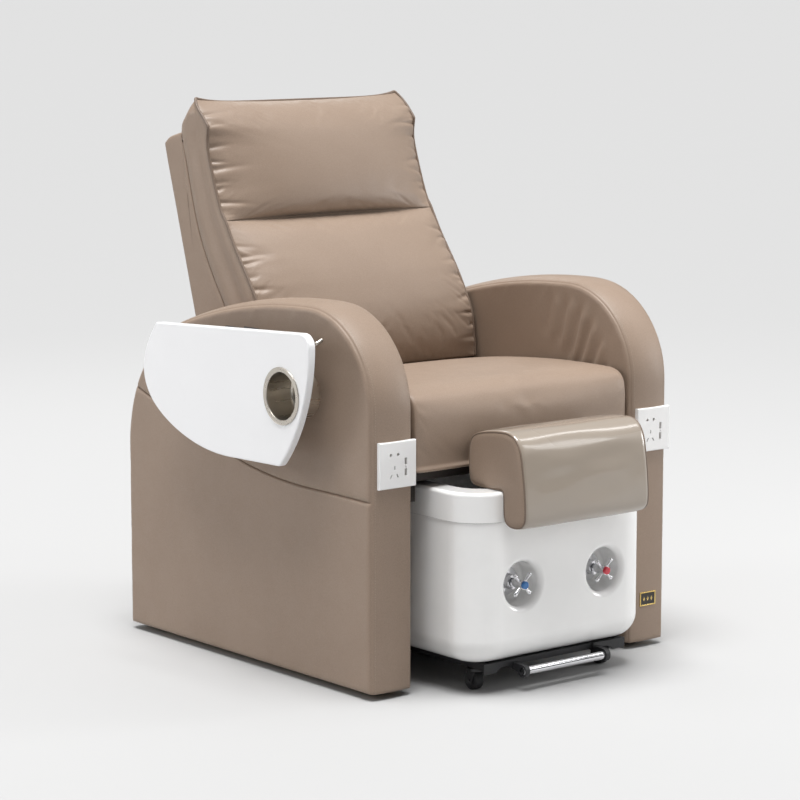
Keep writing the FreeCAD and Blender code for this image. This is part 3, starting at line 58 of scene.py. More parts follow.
class Finish:
    """A material's node tree, with short calls for the nodes used here."""

    def __init__(self, name):
        self.material = bpy.data.materials.new(name)
        self.material.use_nodes = True
        self.tree = self.material.node_tree
        self.surface = self.tree.nodes["Principled BSDF"]
        self.place = self.add("ShaderNodeTexCoord").outputs["Object"]
        self.normal = None

    def add(self, kind, **settings):
        node = self.tree.nodes.new(kind)
        for key, value in settings.items():
            setattr(node, key, value)
        return node

    def link(self, start, end):
        self.tree.links.new(start, end)

    def stretched(self, scale):
        """The object's coordinates, scaled unevenly."""
        node = self.add("ShaderNodeMapping")
        self.link(self.place, node.inputs["Vector"])
        node.inputs["Scale"].default_value = scale
        return node.outputs["Vector"]

    def noise(self, scale, detail=4.0, roughness=0.55, stretch=None):
        node = self.add("ShaderNodeTexNoise")
        self.link(self.stretched(stretch) if stretch else self.place, node.inputs["Vector"])
        node.inputs["Scale"].default_value = scale
        node.inputs["Detail"].default_value = detail
        node.inputs["Roughness"].default_value = roughness
        return node.outputs["Fac"]

    def cells(self, scale, feature="DISTANCE_TO_EDGE"):
        node = self.add("ShaderNodeTexVoronoi", feature=feature)
        self.link(self.place, node.inputs["Vector"])
        node.inputs["Scale"].default_value = scale
        return node.outputs["Distance"]

    def ranged(self, value, low, high, to_low=0.0, to_high=1.0):
        node = self.add("ShaderNodeMapRange")
        self.link(value, node.inputs["Value"])
        for name, number in (("From Min", low), ("From Max", high), ("To Min", to_low), ("To Max", to_high)):
            node.inputs[name].default_value = number
        return node.outputs["Result"]

    def mixed(self, share, first, second):
        """Colour between two colours or sockets, by a share from 0 to 1."""
        node = self.add("ShaderNodeMix", data_type="RGBA")
        self.link(share, node.inputs["Factor"])
        for socket, colour in ((node.inputs["A"], first), (node.inputs["B"], second)):
            if isinstance(colour, tuple):
                socket.default_value = (*colour, 1.0)
            else:
                self.link(colour, socket)
        return node.outputs["Result"]

    def colour(self, value):
        self.link(value, self.surface.inputs["Base Color"])

    def roughness(self, value, low, high):
        self.link(self.ranged(value, 0.3, 0.7, low, high), self.surface.inputs["Roughness"])

    def bump(self, height, distance, strength=1.0):
        node = self.add("ShaderNodeBump")
        node.inputs["Strength"].default_value = strength
        node.inputs["Distance"].default_value = distance
        self.link(height, node.inputs["Height"])
        if self.normal is not None:
            self.link(self.normal, node.inputs["Normal"])
        self.normal = node.outputs["Normal"]
        self.link(self.normal, self.surface.inputs["Normal"])

    def fixed(self, **numbers):
        """Numbers that are the same all over, set on the shader's own sockets."""
        for name, number in numbers.items():
            self.surface.inputs[name.replace("_", " ")].default_value = number
        return self.material


def leathercloth(name, light, dark, gloss=(0.40, 0.54)):
    """Coated leathercloth: pebbled grain, soft creases, slight mottling, and painted shade in the grooves
    between the pebbles.
    """
    finish = Finish(name)
    mottling = finish.ranged(finish.noise(7.0, 5.0), 0.35, 0.65)
    cloud = finish.mixed(mottling, dark, light)
    speckle = finish.ranged(finish.noise(420.0, 2.0), 0.3, 0.7)
    grained = finish.mixed(speckle, cloud, light)
    pebble = finish.cells(520.0)
    valley = finish.ranged(pebble, 0.0, 0.22)
    # painted shade: the colour darkens towards the dark tone in the grooves between the pebbles
    finish.colour(finish.mixed(valley, dark, grained))
    finish.roughness(finish.noise(34.0, 5.0), *gloss)
    finish.bump(finish.noise(24.0, 3.0, stretch=(1.0, 1.4, 0.6)), 0.0009, 0.35)
    finish.bump(valley, 0.00010, 0.55)
    finish.bump(finish.noise(1500.0, 2.0), 0.00005, 0.4)
    return finish.fixed(Sheen_Weight=0.06, Sheen_Roughness=0.4, Specular_IOR_Level=0.42)


def vinyl_film(name, light, dark):
    """Clear film over the cloth: a wet coat with long shallow waves."""
    finish = Finish(name)
    haze = finish.noise(3.0, 1.0, stretch=(0.5, 1.0, 1.6))
    finish.colour(finish.mixed(haze, dark, light))
    smear = finish.noise(6.0, 1.0, stretch=(0.3, 1.0, 1.2))
    finish.link(finish.ranged(smear, 0.0, 1.0, 0.20, 0.36), finish.surface.inputs["Roughness"])
    finish.bump(finish.noise(5.0, 0.0, stretch=(0.25, 1.0, 1.6)), 0.0018, 0.40)
    return finish.fixed(Coat_Weight=1.0, Coat_Roughness=0.11, Coat_IOR=1.5)


def moulding(name, light, dark, gloss, coat=0.0, texture=0.00006, scale=300.0):
    """Moulded or lacquered plastic with a faint orange peel."""
    finish = Finish(name)
    finish.colour(finish.mixed(finish.ranged(finish.noise(11.0, 3.0), 0.35, 0.65), dark, light))
    finish.roughness(finish.noise(60.0, 4.0), *gloss)
    finish.bump(finish.noise(scale, 3.0), texture, 0.5)
    return finish.fixed(Coat_Weight=coat, Coat_Roughness=0.06)


def metal(name, light, dark, gloss, brushed=None, scale=60.0):
    """Plated, brushed or coated metal with fine scratches."""
    finish = Finish(name)
    finish.colour(finish.mixed(finish.ranged(finish.noise(18.0, 4.0), 0.35, 0.65), dark, light))
    finish.roughness(finish.noise(scale, 6.0, stretch=brushed), *gloss)
    finish.bump(finish.noise(scale * 8, 3.0, stretch=brushed), 0.00003, 0.5)
    return finish.fixed(Metallic=1.0)


def plywood(name, dark, light):
    """Board with its grain along Y."""
    finish = Finish(name)
    grain = finish.noise(26.0, 7.0, 0.65, stretch=(6.0, 0.5, 6.0))
    finish.colour(finish.mixed(finish.ranged(grain, 0.35, 0.65), dark, light))
    finish.roughness(grain, 0.55, 0.75)
    finish.bump(grain, 0.0003, 0.5)
    return finish.material


def lining(name):
    """Black non-woven dust cloth."""
    finish = Finish(name)
    fibres = finish.noise(900.0, 3.0)
    finish.colour(finish.mixed(finish.ranged(fibres, 0.4, 0.6), (0.010, 0.010, 0.011), (0.030, 0.030, 0.032)))
    finish.roughness(fibres, 0.85, 0.98)
    finish.bump(fibres, 0.0003, 0.6)
    return finish.material


TAUPE = leathercloth("taupe_leathercloth", (0.314, 0.233, 0.177), (0.260, 0.189, 0.140))
PILLOW = leathercloth("pillow_leathercloth", (0.329, 0.247, 0.189), (0.273, 0.200, 0.150), (0.36, 0.50))
# piping darker than the cover: painted shade along the piped edges
SHADED_PIPING = leathercloth("piping_leathercloth_painted_shade", (0.20, 0.145, 0.108), (0.155, 0.11, 0.08), (0.40, 0.50))
THREAD = leathercloth("taupe_thread", (0.42, 0.34, 0.27), (0.30, 0.24, 0.18), (0.5, 0.6))
FILM = vinyl_film("film_over_taupe", (0.330, 0.280, 0.228), (0.290, 0.242, 0.195))
WHITE_GLOSS = moulding("white_sanitary_gloss", (0.90, 0.895, 0.885), (0.87, 0.865, 0.855), (0.10, 0.18), 0.6)
WHITE_BOARD = moulding("white_lacquer", (0.86, 0.86, 0.87), (0.852, 0.852, 0.862), (0.28, 0.30), 0.25,
                       0.000006, 60.0)
WHITE_PLASTIC = moulding("white_satin_plastic", (0.86, 0.855, 0.85), (0.83, 0.825, 0.82), (0.30, 0.40))
BLACK_PLASTIC = moulding("black_plastic", (0.022, 0.022, 0.024), (0.012, 0.012, 0.013), (0.30, 0.45))
BLACK_RUBBER = moulding("black_rubber", (0.035, 0.035, 0.036), (0.018, 0.018, 0.019), (0.6, 0.8), 0.0,
                        0.0002, 500.0)
GREY_PLASTIC = moulding("grey_plastic", (0.20, 0.20, 0.21), (0.14, 0.14, 0.15), (0.4, 0.5))
GREY_PIPE = moulding("grey_pipe", (0.58, 0.58, 0.59), (0.50, 0.50, 0.51), (0.35, 0.45))
BLUE_CAP = moulding("blue_cap", (0.02, 0.20, 0.52), (0.02, 0.15, 0.42), (0.12, 0.2), 0.5)
RED_CAP = moulding("red_cap", (0.62, 0.025, 0.05), (0.48, 0.02, 0.035), (0.12, 0.2), 0.5)
BLACK_STEEL = moulding("black_powder_coat", (0.018, 0.018, 0.02), (0.010, 0.010, 0.011), (0.38, 0.52), 0.0,
                       0.00015, 900.0)
CHROME = metal("bright_chrome", (0.80, 0.80, 0.82), (0.68, 0.68, 0.70), (0.05, 0.14))
STAINLESS = metal("brushed_stainless", (0.56, 0.52, 0.46), (0.50, 0.46, 0.41), (0.24, 0.34),
                  (1.0, 9.0, 9.0), 14.0)
GILT = metal("gilt", (0.78, 0.58, 0.22), (0.55, 0.38, 0.12), (0.18, 0.32))
DARK_FIELD = moulding("dark_field", (0.030, 0.024, 0.018), (0.016, 0.013, 0.010), (0.3, 0.4))
PLYWOOD = plywood("birch_plywood", (0.46, 0.31, 0.18), (0.66, 0.50, 0.32))
# near-black plywood: painted shade under the seat cushion, on the seat deck and rails
SHADE_DARKENED_PLYWOOD = plywood("shade_darkened_plywood", (0.016, 0.012, 0.010), (0.032, 0.025, 0.021))
LINING = lining("black_dust_cloth")

BY_SLOT = {"plywood": PLYWOOD, "upholstery": TAUPE, "black_plastic": BLACK_PLASTIC,
           "white_plastic": WHITE_PLASTIC, "grey_plastic": GREY_PLASTIC, "gold_plate": GILT,
           "black_steel": BLACK_STEEL, "chrome": CHROME, "stainless": STAINLESS,
           "white_board": WHITE_BOARD, "pillow_cover": PILLOW, "white_gloss": WHITE_GLOSS,
           "grey_pipe": GREY_PIPE, "black_rubber": BLACK_RUBBER, "blue_cap": BLUE_CAP, "red_cap": RED_CAP}
# the seat deck and rails take the near-black plywood as painted shade under the seat
BY_NODE = {"seat_deck": SHADE_DARKENED_PLYWOOD, "seat_rails": SHADE_DARKENED_PLYWOOD, "socket_modules": BLACK_PLASTIC,
           "tray_brackets": BLACK_STEEL, "tray_hinge_leaves": BLACK_STEEL}
for part in frame["record"]["subparts"]:
    node = frame["nodes"][part["node"]]
    for place in node.material_slots:
        place.material = BY_NODE.get(part["node"], BY_SLOT[part["material_slot"]])


# --- lines, surfaces and pieces ---

def resample(points, count, closed=False):
    """The same line with evenly spaced points."""
    points = np.asarray(points, float)
    if closed:
        points = np.vstack([points, points[:1]])
    along = np.concatenate([[0.0], np.cumsum(np.linalg.norm(np.diff(points, axis=0), axis=1))])
    wanted = np.linspace(0.0, along[-1], count + 1 if closed else count)
    even = np.stack([np.interp(wanted, along, column) for column in points.T], axis=1)
    return even[:-1] if closed else even


def smooth_line(points, count, closed=False):
    """A smooth line through the points, evenly spaced."""
    points = np.asarray(points, float)
    before = np.roll(points, 1, 0) if closed else np.vstack([2 * points[:1] - points[1:2], points[:-1]])
    after = np.roll(points, -1, 0) if closed else np.vstack([points[1:], 2 * points[-1:] - points[-2:-1]])
    beyond = np.roll(after, -1, 0) if closed else np.vstack([after[1:], 2 * after[-1:] - after[-2:-1]])
    t = np.linspace(0.0, 1.0, 24, endpoint=False)[None, :, None]
    a, b, c, d = (item[:, None, :] for item in (before, points, after, beyond))
    dense = 0.5 * (2 * b + (c - a) * t + (2 * a - 5 * b + 4 * c - d) * t ** 2
                   + (3 * b - a - 3 * c + d) * t ** 3)
    if not closed:
        dense = dense[:-1]
    dense = dense.reshape(-1, points.shape[1])
    if not closed:
        dense = np.vstack([dense, points[-1:]])
    return resample(dense, count, closed)


def bunched(count, pull=0.8):
    """Numbers from 0 to 1, closer together at both ends."""
    t = np.linspace(0.0, 1.0, count)
    return t - pull * np.sin(2 * np.pi * t) / (2 * np.pi)


def normals_of(line, closed=False):
    """Unit normals to the left of a flat line."""
    if closed:
        tangent = np.roll(line, -1, 0) - np.roll(line, 1, 0)
    else:
        tangent = np.gradient(line, axis=0)
    tangent = tangent / np.linalg.norm(tangent, axis=1, keepdims=True)
    return np.stack([-tangent[:, 1], tangent[:, 0]], axis=1)


def round_edge(share):
    """A quarter circle from 0 at the seam to 1 at the end of the rounding."""
    t = 1 - np.clip(share, 0.0, 1.0)
    return np.sqrt(1 - t * t)


def ripple(along, seed, wave=0.03):
    """Uneven waves along a seam, about -1 to 1."""
    total = np.zeros_like(along)
    for number, (stretch, share) in enumerate(((1.0, 0.5), (1.63, 0.3), (2.71, 0.2))):
        total = total + share * np.sin(2 * np.pi * along * stretch / wave + seed * (number + 1.7) * 2.1)
    return total


def grid_faces(rows, columns, closed_rows=False, closed_columns=False):
    faces = []
    for i in range(rows if closed_rows else rows - 1):
        for j in range(columns if closed_columns else columns - 1):
            k, m = (i + 1) % rows, (j + 1) % columns
            faces.append((i * columns + j, k * columns + j, k * columns + m, i * columns + m))
    return faces


def sleeve(line, xs, height, closed=False, turn=1.0):
    """Grid over a line in (y, z) and across x; height(u, w) stands out along the line's normal."""
    line = np.asarray(line, float)
    u = np.linspace(0.0, 1.0, len(line))[:, None]
    w = (2 * (xs - xs[0]) / (xs[-1] - xs[0]) - 1)[None, :]
    rise = height(u, w) * np.ones((len(line), len(xs)))
    flat = line[:, None, :] + turn * normals_of(line, closed)[:, None, :] * rise[:, :, None]
    across = np.broadcast_to(xs[None, :], rise.shape)
    points = np.dstack([across, flat[:, :, 0], flat[:, :, 1]]).reshape(-1, 3)
    return points, grid_faces(len(line), len(xs), closed)


def distance_to(points, outline):
    """Shortest distance from each point to a closed outline."""
    start, end = outline, np.roll(outline, -1, 0)
    run = end - start
    size = np.maximum((run ** 2).sum(1), 1e-12)
    nearest = np.full(len(points), 1e9)
    for first in range(0, len(points), 400):
        some = points[first:first + 400, None, :]
        t = np.clip(((some - start[None]) * run[None]).sum(2) / size[None], 0, 1)
        gap = np.linalg.norm(some - (start[None] + t[:, :, None] * run[None]), axis=2)
        nearest[first:first + 400] = gap.min(1)
    return nearest


def panel(outline, middle, out, puff, rounding, rings=22, relief=None, hole=None):
    """A stitched panel that fills a closed outline and swells out of it, rounded along its seam."""
    outline = np.asarray(outline, float)
    inner = np.broadcast_to(np.asarray(middle, float), outline.shape) if hole is None else hole
    share = 1 - bunched(rings, 0.0) ** 1.9
    layers = [inner + (outline - inner) * part for part in share]
    points = np.vstack(layers)
    gap = distance_to(points, outline)
    if hole is not None:
        gap = np.minimum(gap, distance_to(points, hole))
    rise = puff * round_edge(gap / rounding)
    if relief is not None:
        rise = rise + relief(points, gap)
    points = points + np.asarray(out, float)[None] * rise[:, None]
    return points, grid_faces(rings, len(outline), False, True)


def assemble(name, parts, finishes, body, slot, weld=True):
    """One mesh piece of several surfaces, sewn together where their edges meet."""
    points, faces, kinds = [], [], []
    for number, (some, their_faces) in enumerate(parts):
        first = sum(len(item) for item in points)
        points.append(np.asarray(some))
        faces += [tuple(first + index for index in face) for face in their_faces]
        kinds += [number] * len(their_faces)
    mesh = bpy.data.meshes.new(name)
    mesh.from_pydata([tuple(point) for point in np.vstack(points)], [], faces)
    piece = bpy.data.objects.new(name, mesh)
    scene.collection.objects.link(piece)
    used = []
    for finish in finishes:
        if finish not in used:
            used.append(finish)
            mesh.materials.append(finish)
    places = [used.index(finishes[kind] if len(finishes) > 1 else finishes[0]) for kind in kinds]
    mesh.polygons.foreach_set("material_index", places)
    shape = bmesh.new()
    shape.from_mesh(mesh)
    if weld:
        bmesh.ops.remove_doubles(shape, verts=shape.verts, dist=0.00002)
        bmesh.ops.dissolve_degenerate(shape, edges=shape.edges, dist=0.00001)
    bmesh.ops.recalc_face_normals(shape, faces=shape.faces)
    for face in shape.faces:
        face.smooth = True
    shape.to_mesh(mesh)
    shape.free()
    piece["rides"] = body
    piece["finish_slot"] = slot
    return piece


def settle(piece):
    """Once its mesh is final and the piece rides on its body."""
    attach(piece, piece["rides"])
    return piece


def baked(piece):
    """The piece with its modifiers applied."""
    bpy.context.view_layer.update()
    shaped = piece.evaluated_get(bpy.context.evaluated_depsgraph_get())
    mesh = bpy.data.meshes.new_from_object(shaped)
    piece.modifiers.clear()
    piece.data = mesh
    for face in mesh.polygons:
        face.use_smooth = True
    return piece


def refined(piece):
    """The piece subdivided once."""
    piece.modifiers.new("finer", "SUBSURF").levels = 1
    return baked(piece)


def inflated(piece, seams, pressure, cap, growth, frames=20, reach=0.003):
    """Blow the cover up as cloth, held along its seams; no point moves further than the cap."""
    tree = kdtree.KDTree(len(seams))
    for number, point in enumerate(seams):
        tree.insert(Vector(point), number)
    tree.balance()
    held = [vertex.index for vertex in piece.data.vertices if tree.find(vertex.co)[2] < reach]
    piece.vertex_groups.new(name="seams").add(held, 1.0, "REPLACE")
    start = np.array([vertex.co for vertex in piece.data.vertices])
    cloth = piece.modifiers.new("inflate", "CLOTH")
    cloth.settings.quality = 5
    cloth.settings.mass = 0.25
    cloth.settings.tension_stiffness = 14
    cloth.settings.compression_stiffness = 14
    cloth.settings.shear_stiffness = 6
    cloth.settings.bending_stiffness = 0.6
    cloth.settings.use_pressure = True
    cloth.settings.uniform_pressure_force = pressure
    cloth.settings.shrink_min = -growth
    cloth.settings.vertex_group_mass = "seams"
    cloth.settings.effector_weights.gravity = 0
    cloth.collision_settings.use_collision = False
    cloth.point_cache.frame_start = 1
    cloth.point_cache.frame_end = frames
    for number in range(1, frames + 1):
        scene.frame_set(number)
    shaped = piece.evaluated_get(bpy.context.evaluated_depsgraph_get())
    end = np.array([vertex.co for vertex in shaped.data.vertices])
    piece.modifiers.clear()
    piece.vertex_groups.clear()
    moved = end - start
    far = np.linalg.norm(moved, axis=1, keepdims=True)
    end = start + moved * cap * np.tanh(far / cap) / np.maximum(far, 1e-9)
    piece.data.vertices.foreach_set("co", end.ravel())
    piece.data.update()
    scene.frame_set(1)
    return piece


def tube(points, radius, sides=10, closed=False):
    """A round cord of material along a line in space."""
    points = np.asarray(points, float)
    if closed:
        tangent = np.roll(points, -1, 0) - np.roll(points, 1, 0)
    else:
        tangent = np.gradient(points, axis=0)
    tangent = tangent / np.linalg.norm(tangent, axis=1, keepdims=True)
    side = np.cross(tangent[0], (0.31, 0.53, 0.79))
    rings = []
    turns = np.linspace(0, 2 * np.pi, sides, endpoint=False)
    for point, along in zip(points, tangent):
        side = side - along * side.dot(along)
        side = side / np.linalg.norm(side)
        up = np.cross(along, side)
        rings.append(point + radius * (np.cos(turns)[:, None] * side + np.sin(turns)[:, None] * up))
    faces = grid_faces(len(points), sides, closed, True)
    if not closed:
        faces += [tuple(range(sides)), tuple((len(points) - 1) * sides + k for k in range(sides))]
    return np.vstack(rings), faces


def stitches(points, out, pitch=5.0 * MM, long=3.4 * MM, radius=0.42 * MM):
    """Sewn stitches along a line; `out` gives the way off the surface at each point."""
    along = np.concatenate([[0.0], np.cumsum(np.linalg.norm(np.diff(points, axis=0), axis=1))])
    count = int(along[-1] / pitch)
    places = (np.arange(count) + 0.5) * pitch
    sides = 6
    turns = np.linspace(0, 2 * np.pi, sides, endpoint=False)
    # rings of one stitch: how far along it, how wide, how high
    ring_at = ((-0.5, 0.35, -0.5), (-0.3, 1.0, 0.1), (0.3, 1.0, 0.1), (0.5, 0.35, -0.5))
    one_stitch = grid_faces(len(ring_at), sides, False, True)
    one_stitch += [tuple(range(sides)), tuple((len(ring_at) - 1) * sides + k for k in range(sides))]
    points_out, faces = [], []
    for place in places:
        here = np.array([np.interp(place, along, column) for column in np.asarray(points).T])
        ahead = np.array([np.interp(place + 0.4 * MM, along, column) for column in np.asarray(points).T])
        up = np.array([np.interp(place, along, column) for column in np.asarray(out).T])
        run = ahead - here
        run = run / max(np.linalg.norm(run), 1e-9)
        up = up - run * up.dot(run)
        up = up / np.linalg.norm(up)
        side = np.cross(run, up)
        first = len(points_out)
        for step, width, lift in ring_at:
            middle = here + run * step * long + up * (lift * radius)
            for turn in turns:
                points_out.append(middle + radius * width * (math.cos(turn) * side + math.sin(turn) * up))
        faces += [tuple(first + index for index in face) for face in one_stitch]
    return np.array(points_out), faces


# --- arms ---

ARM_CURVES = {"nose": 0.185, "crest": 1.270, "heel": 0.280}
SEAM_IN = 5.0 * MM      # how far the side seams lie inside the arm's faces
SEAM_DOWN = 7.0 * MM    # and below its crest
PANEL_EDGE = 8.0 * MM   # how far a side panel's rounding reaches in from its seam
ARM_POINTS = 330


def arm_line(low, high, inset):
    """Side line of an arm in (y, z) from its front foot over the top to its rear foot."""
    front, rear, top = low.y + inset, high.y - inset, high.z - inset
    nose, crest, heel = (ARM_CURVES[name] - inset for name in ("nose", "crest", "heel"))
    nose_at = np.array([front + nose, top - nose])
    crest_at = np.array([nose_at[0], top - crest])
    across = rear - heel - crest_at[0]
    rise = math.sqrt((crest - heel) ** 2 - across ** 2)
    heel_at = crest_at + (across, rise)
    lean = math.atan2(across, rise)

    def arc(middle, radius, start, end):
        angles = np.linspace(start, end, 90)
        return np.stack([middle[0] + radius * np.sin(angles), middle[1] + radius * np.cos(angles)], 1)

    line = np.vstack([[(front, low.z)], arc(nose_at, nose, -math.pi / 2, 0), arc(crest_at, crest, 0, lean),
                      arc(heel_at, heel, lean, math.pi / 2), [(rear, low.z)]])
    return resample(line, ARM_POINTS)


def arm_band_height(u, w):
    """How far the band over an arm stands out of its seams: flat in front, crowned on top."""
    top_share = np.clip((u - 0.17) / 0.12, 0, 1) * np.clip((0.80 - u) / 0.10, 0, 1)
    crown = 2.5 * MM + (SEAM_DOWN - 3.0 * MM + 1.5 * MM) * top_share
    edge = (1 - np.abs(w)) * 0.045
    gather = 0.35 * MM * np.exp(-edge / 0.010) * np.clip(edge / 0.003, 0, 1) * ripple(u * 2.1, 3.0, 0.021)
    return 3.0 * MM * round_edge(edge / 0.005) + crown * (1 - np.abs(w) ** 2.3) + gather


SIDE_SEAM = [(-0.392, 0.371), (-0.256, 0.372), (-0.180, 0.373), (-0.103, 0.378), (-0.023, 0.389),
             (0.025, 0.400), (0.130, 0.429), (0.230, 0.458), (0.321, 0.487), (0.370, 0.500)]

# folds in the left arm's inner side below the seam: ends (y, z), half width, depth
INNER_FOLDS = [((-0.262, 0.660), (-0.232, 0.560), 0.009, 4.2 * MM),
               ((-0.290, 0.632), (-0.254, 0.545), 0.008, 3.8 * MM),
               ((-0.222, 0.672), (-0.200, 0.585), 0.010, 3.2 * MM),
               ((-0.316, 0.600), (-0.282, 0.530), 0.007, 2.8 * MM),
               ((-0.180, 0.678), (-0.166, 0.600), 0.012, 2.0 * MM),
               ((-0.334, 0.560), (-0.306, 0.505), 0.006, 1.8 * MM)]


def folds(points, gap, lines):
    """Ridges with a hollow beside each, along short straight lines in (y, z)."""
    rise = np.zeros(len(points))
    flat = points[:, 1:3]
    for start, end, half, depth in lines:
        start, end = np.array(start), np.array(end)
        run = end - start
        t = ((flat - start) @ run) / run.dot(run)
        side = ((flat - start) @ np.array([-run[1], run[0]])) / np.linalg.norm(run)
        along = np.exp(-np.clip(np.abs(t - 0.5) - 0.3, 0, None) ** 2 / 0.05)
        across = np.exp(-(side / half) ** 2) - 0.8 * np.exp(-((side - 1.7 * half) / half) ** 2)
        rise += depth * along * across
    return rise * np.clip(gap / 0.012, 0, 1)


def seam_gather(seed, depth, reach, wave):
    """Small gathers that fade away from a panel's seam."""
    def relief(points, gap):
        along = points[:, 1] * 0.83 + points[:, 2] * 0.56
        return depth * np.exp(-gap / reach) * np.clip(gap / 0.004, 0, 1) * ripple(along, seed, wave)
    return relief


def build_arm(side):
    low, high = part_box("arm_cover_" + side)
    sign = -1 if side == "right" else 1
    outer = sign * (max(abs(low.x), abs(high.x)) - SEAM_IN)
    inner = sign * (min(abs(low.x), abs(high.x)) + SEAM_IN)
    lift = Vector((0, 0, 1.0 * MM))
    line = arm_line(low + lift, high, SEAM_DOWN - 2 * MM)
    xs = outer + (inner - outer) * bunched(30, 0.82)
    band = sleeve(line, xs, arm_band_height)

    def loop(x, points):
        return np.column_stack([np.full(len(points), x), points])

    foot = line[-1] + (line[0] - line[-1]) * np.linspace(0, 1, 90)[1:-1, None]
    whole = np.vstack([line, foot])
    seam_front = int(np.argmin(np.abs(line[:ARM_POINTS // 2, 1] - SIDE_SEAM[0][1])))
    seam_rear = ARM_POINTS // 2 + int(np.argmin(np.abs(line[ARM_POINTS // 2:, 1] - SIDE_SEAM[-1][1])))
    seam_points = [line[seam_front]] + [np.array(point) for point in SIDE_SEAM[1:-1]] + [line[seam_rear]]
    seam = smooth_line(seam_points, 110)
    upper = np.vstack([line[seam_front:seam_rear + 1], seam[::-1][1:-1]])
    lower = np.vstack([seam, line[seam_rear + 1:], foot, line[:seam_front]])
    puff = SEAM_IN + 0.2 * MM
    out = (sign, 0, 0)
    upper_panel = panel(loop(outer, upper), (outer, 0.0, 0.545), out, puff, PANEL_EDGE, 26,
                        seam_gather(1.0 + sign, 0.8 * MM, 0.020, 0.055))
    lower_panel = panel(loop(outer, lower), (outer, 0.0, 0.190), out, puff, PANEL_EDGE, 26,
                        seam_gather(2.0 + sign, 0.5 * MM, 0.016, 0.07))

    def inner_relief(points, gap):
        gathers = seam_gather(3.0 + sign, 0.7 * MM, 0.020, 0.05)(points, gap)
        return gathers + (folds(points, gap, INNER_FOLDS) if side == "left" else 0.0)

    inner_panel = panel(loop(inner, whole), (inner, -0.03, 0.36), (-sign, 0, 0), SEAM_IN - 0.6 * MM,
                        PANEL_EDGE, 60, inner_relief)
    over = band[0].reshape(ARM_POINTS, len(xs), 3)
    under_points = np.vstack([np.vstack([over[-1:, k], loop(x, foot), over[:1, k]])
                              for k, x in enumerate(xs)])
    under = (under_points, grid_faces(len(xs), len(foot) + 2))
    cover = assemble("arm_upholstery_" + side, [band, upper_panel, lower_panel, inner_panel, under],
                     [TAUPE, TAUPE, TAUPE, TAUPE, LINING], "chair_base", "upholstery")
    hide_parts("arm_cover_" + side)
    settle(cover)

    rows = []
    for edge, w in ((outer, 1), (inner, -1)):
        share = 5.5 * MM / abs(inner - outer)
        x = edge + (inner - outer) * share * (1 if edge == outer else -1)
        level = np.full((1, 1), (-1 + 2 * share) if edge == outer else (1 - 2 * share))
        rise = arm_band_height(np.linspace(0, 1, len(line))[:, None], level)[:, 0]
        way = normals_of(line)
        on_surface = line + way * rise[:, None]
        rows.append(stitches(loop(x, on_surface), np.column_stack([np.zeros(len(way)), way])))
    for shift in (-4.5 * MM, 4.5 * MM):
        beside = seam + normals_of(seam) * shift
        depth = outer + sign * puff * round_edge(4.5 * MM / PANEL_EDGE)
        beside = beside[4:-4]
        rows.append(stitches(loop(depth, beside), np.tile((sign, 0.0, 0.0), (len(beside), 1))))
    thread = assemble("arm_stitching_" + side, rows, [THREAD], "chair_base", "upholstery", weld=False)
    settle(thread)


build_arm("right")
build_arm("left")

# --- seat cushion ---


def closed_cushion(name, outline, half_x, middle, body, slot, crown, finishes, ends=None, columns=60):
    """A wrap-round cover with two sewn end panels, from a closed (y, z) outline."""
    xs = -half_x + 2 * half_x * bunched(columns, 0.72)
    turn = 1.0 if np.cross(outline[1] - outline[0], np.array(middle) - outline[0]) < 0 else -1.0
    wrap = sleeve(outline, xs, crown, True, turn)
    sides = []
    for sign in (-1, 1):
        edge = np.column_stack([np.full(len(outline), sign * half_x), outline])
        sides.append(panel(edge, (sign * half_x, *middle), (sign, 0, 0), *ends))
    piece = assemble(name, [wrap, *sides], finishes, body, slot)
    seams = np.vstack([np.column_stack([np.full(len(outline), sign * half_x), outline]) for sign in (-1, 1)])
    return piece, seams


seat_low, seat_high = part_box("seat_cushion")
SEAT_OUTLINE = [(-0.384, 0.424), (-0.386, 0.470), (-0.386, 0.515), (-0.380, 0.541), (-0.364, 0.554),
                (-0.335, 0.558), (-0.260, 0.558), (-0.187, 0.556), (-0.089, 0.548), (-0.010, 0.538),
                (0.034, 0.528), (0.043, 0.500), (0.043, 0.440), (0.036, 0.4135), (-0.180, 0.4135),
                (-0.374, 0.4135)]
SEAT_TUCK = 0.440       # below this the cover is stapled to the deck and doesn't swell
seat_line = smooth_line(SEAT_OUTLINE, 190, True)


def seat_crown(u, w):
    edge = (1 - np.abs(w)) * (seat_high.x - seat_low.x) / 2
    top = np.clip(1 - np.abs(u - 0.36) / 0.26, 0, 1)
    return 3.0 * MM * round_edge(edge / 0.016) + 7.0 * MM * top * (1 - np.abs(w) ** 2.2)


seat, seat_seams = closed_cushion("seat_cushion_cover", seat_line, seat_high.x - 3 * MM, (-0.17, 0.485),
                                  "chair_base", "upholstery", seat_crown, [TAUPE],
                                  (3.0 * MM, 0.014, 16), 64)
resting = np.array([vertex.co for vertex in seat.data.vertices if vertex.co.z < SEAT_TUCK])
inflated(seat, np.vstack([seat_seams, resting]), pressure=2.5, cap=4 * MM, growth=0.002)
refined(seat)
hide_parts("seat_cushion")
settle(seat)

# --- back ---

PIVOT = Vector((0.0, 0.200, 0.480))
TILT = math.radians(16.5)


def on_back(x, forward, up):
    """Place in the row frame of a point of the back: across, forward and up along the back."""
    x, forward, up = np.broadcast_arrays(*[np.asarray(v, float) for v in (x, forward, up)])
    y = PIVOT.y - forward * math.cos(TILT) + up * math.sin(TILT)
    z = PIVOT.z + forward * math.sin(TILT) + up * math.cos(TILT)
    return np.stack([x, y, z], axis=-1)


BACK_HALF = 0.264
SEWN_IN = 1.5 * MM      # how far inside the back's sides the pillows are sewn
EAR_START, EAR_TIP, EAR_ROUND = 0.566, 0.598, 9 * MM
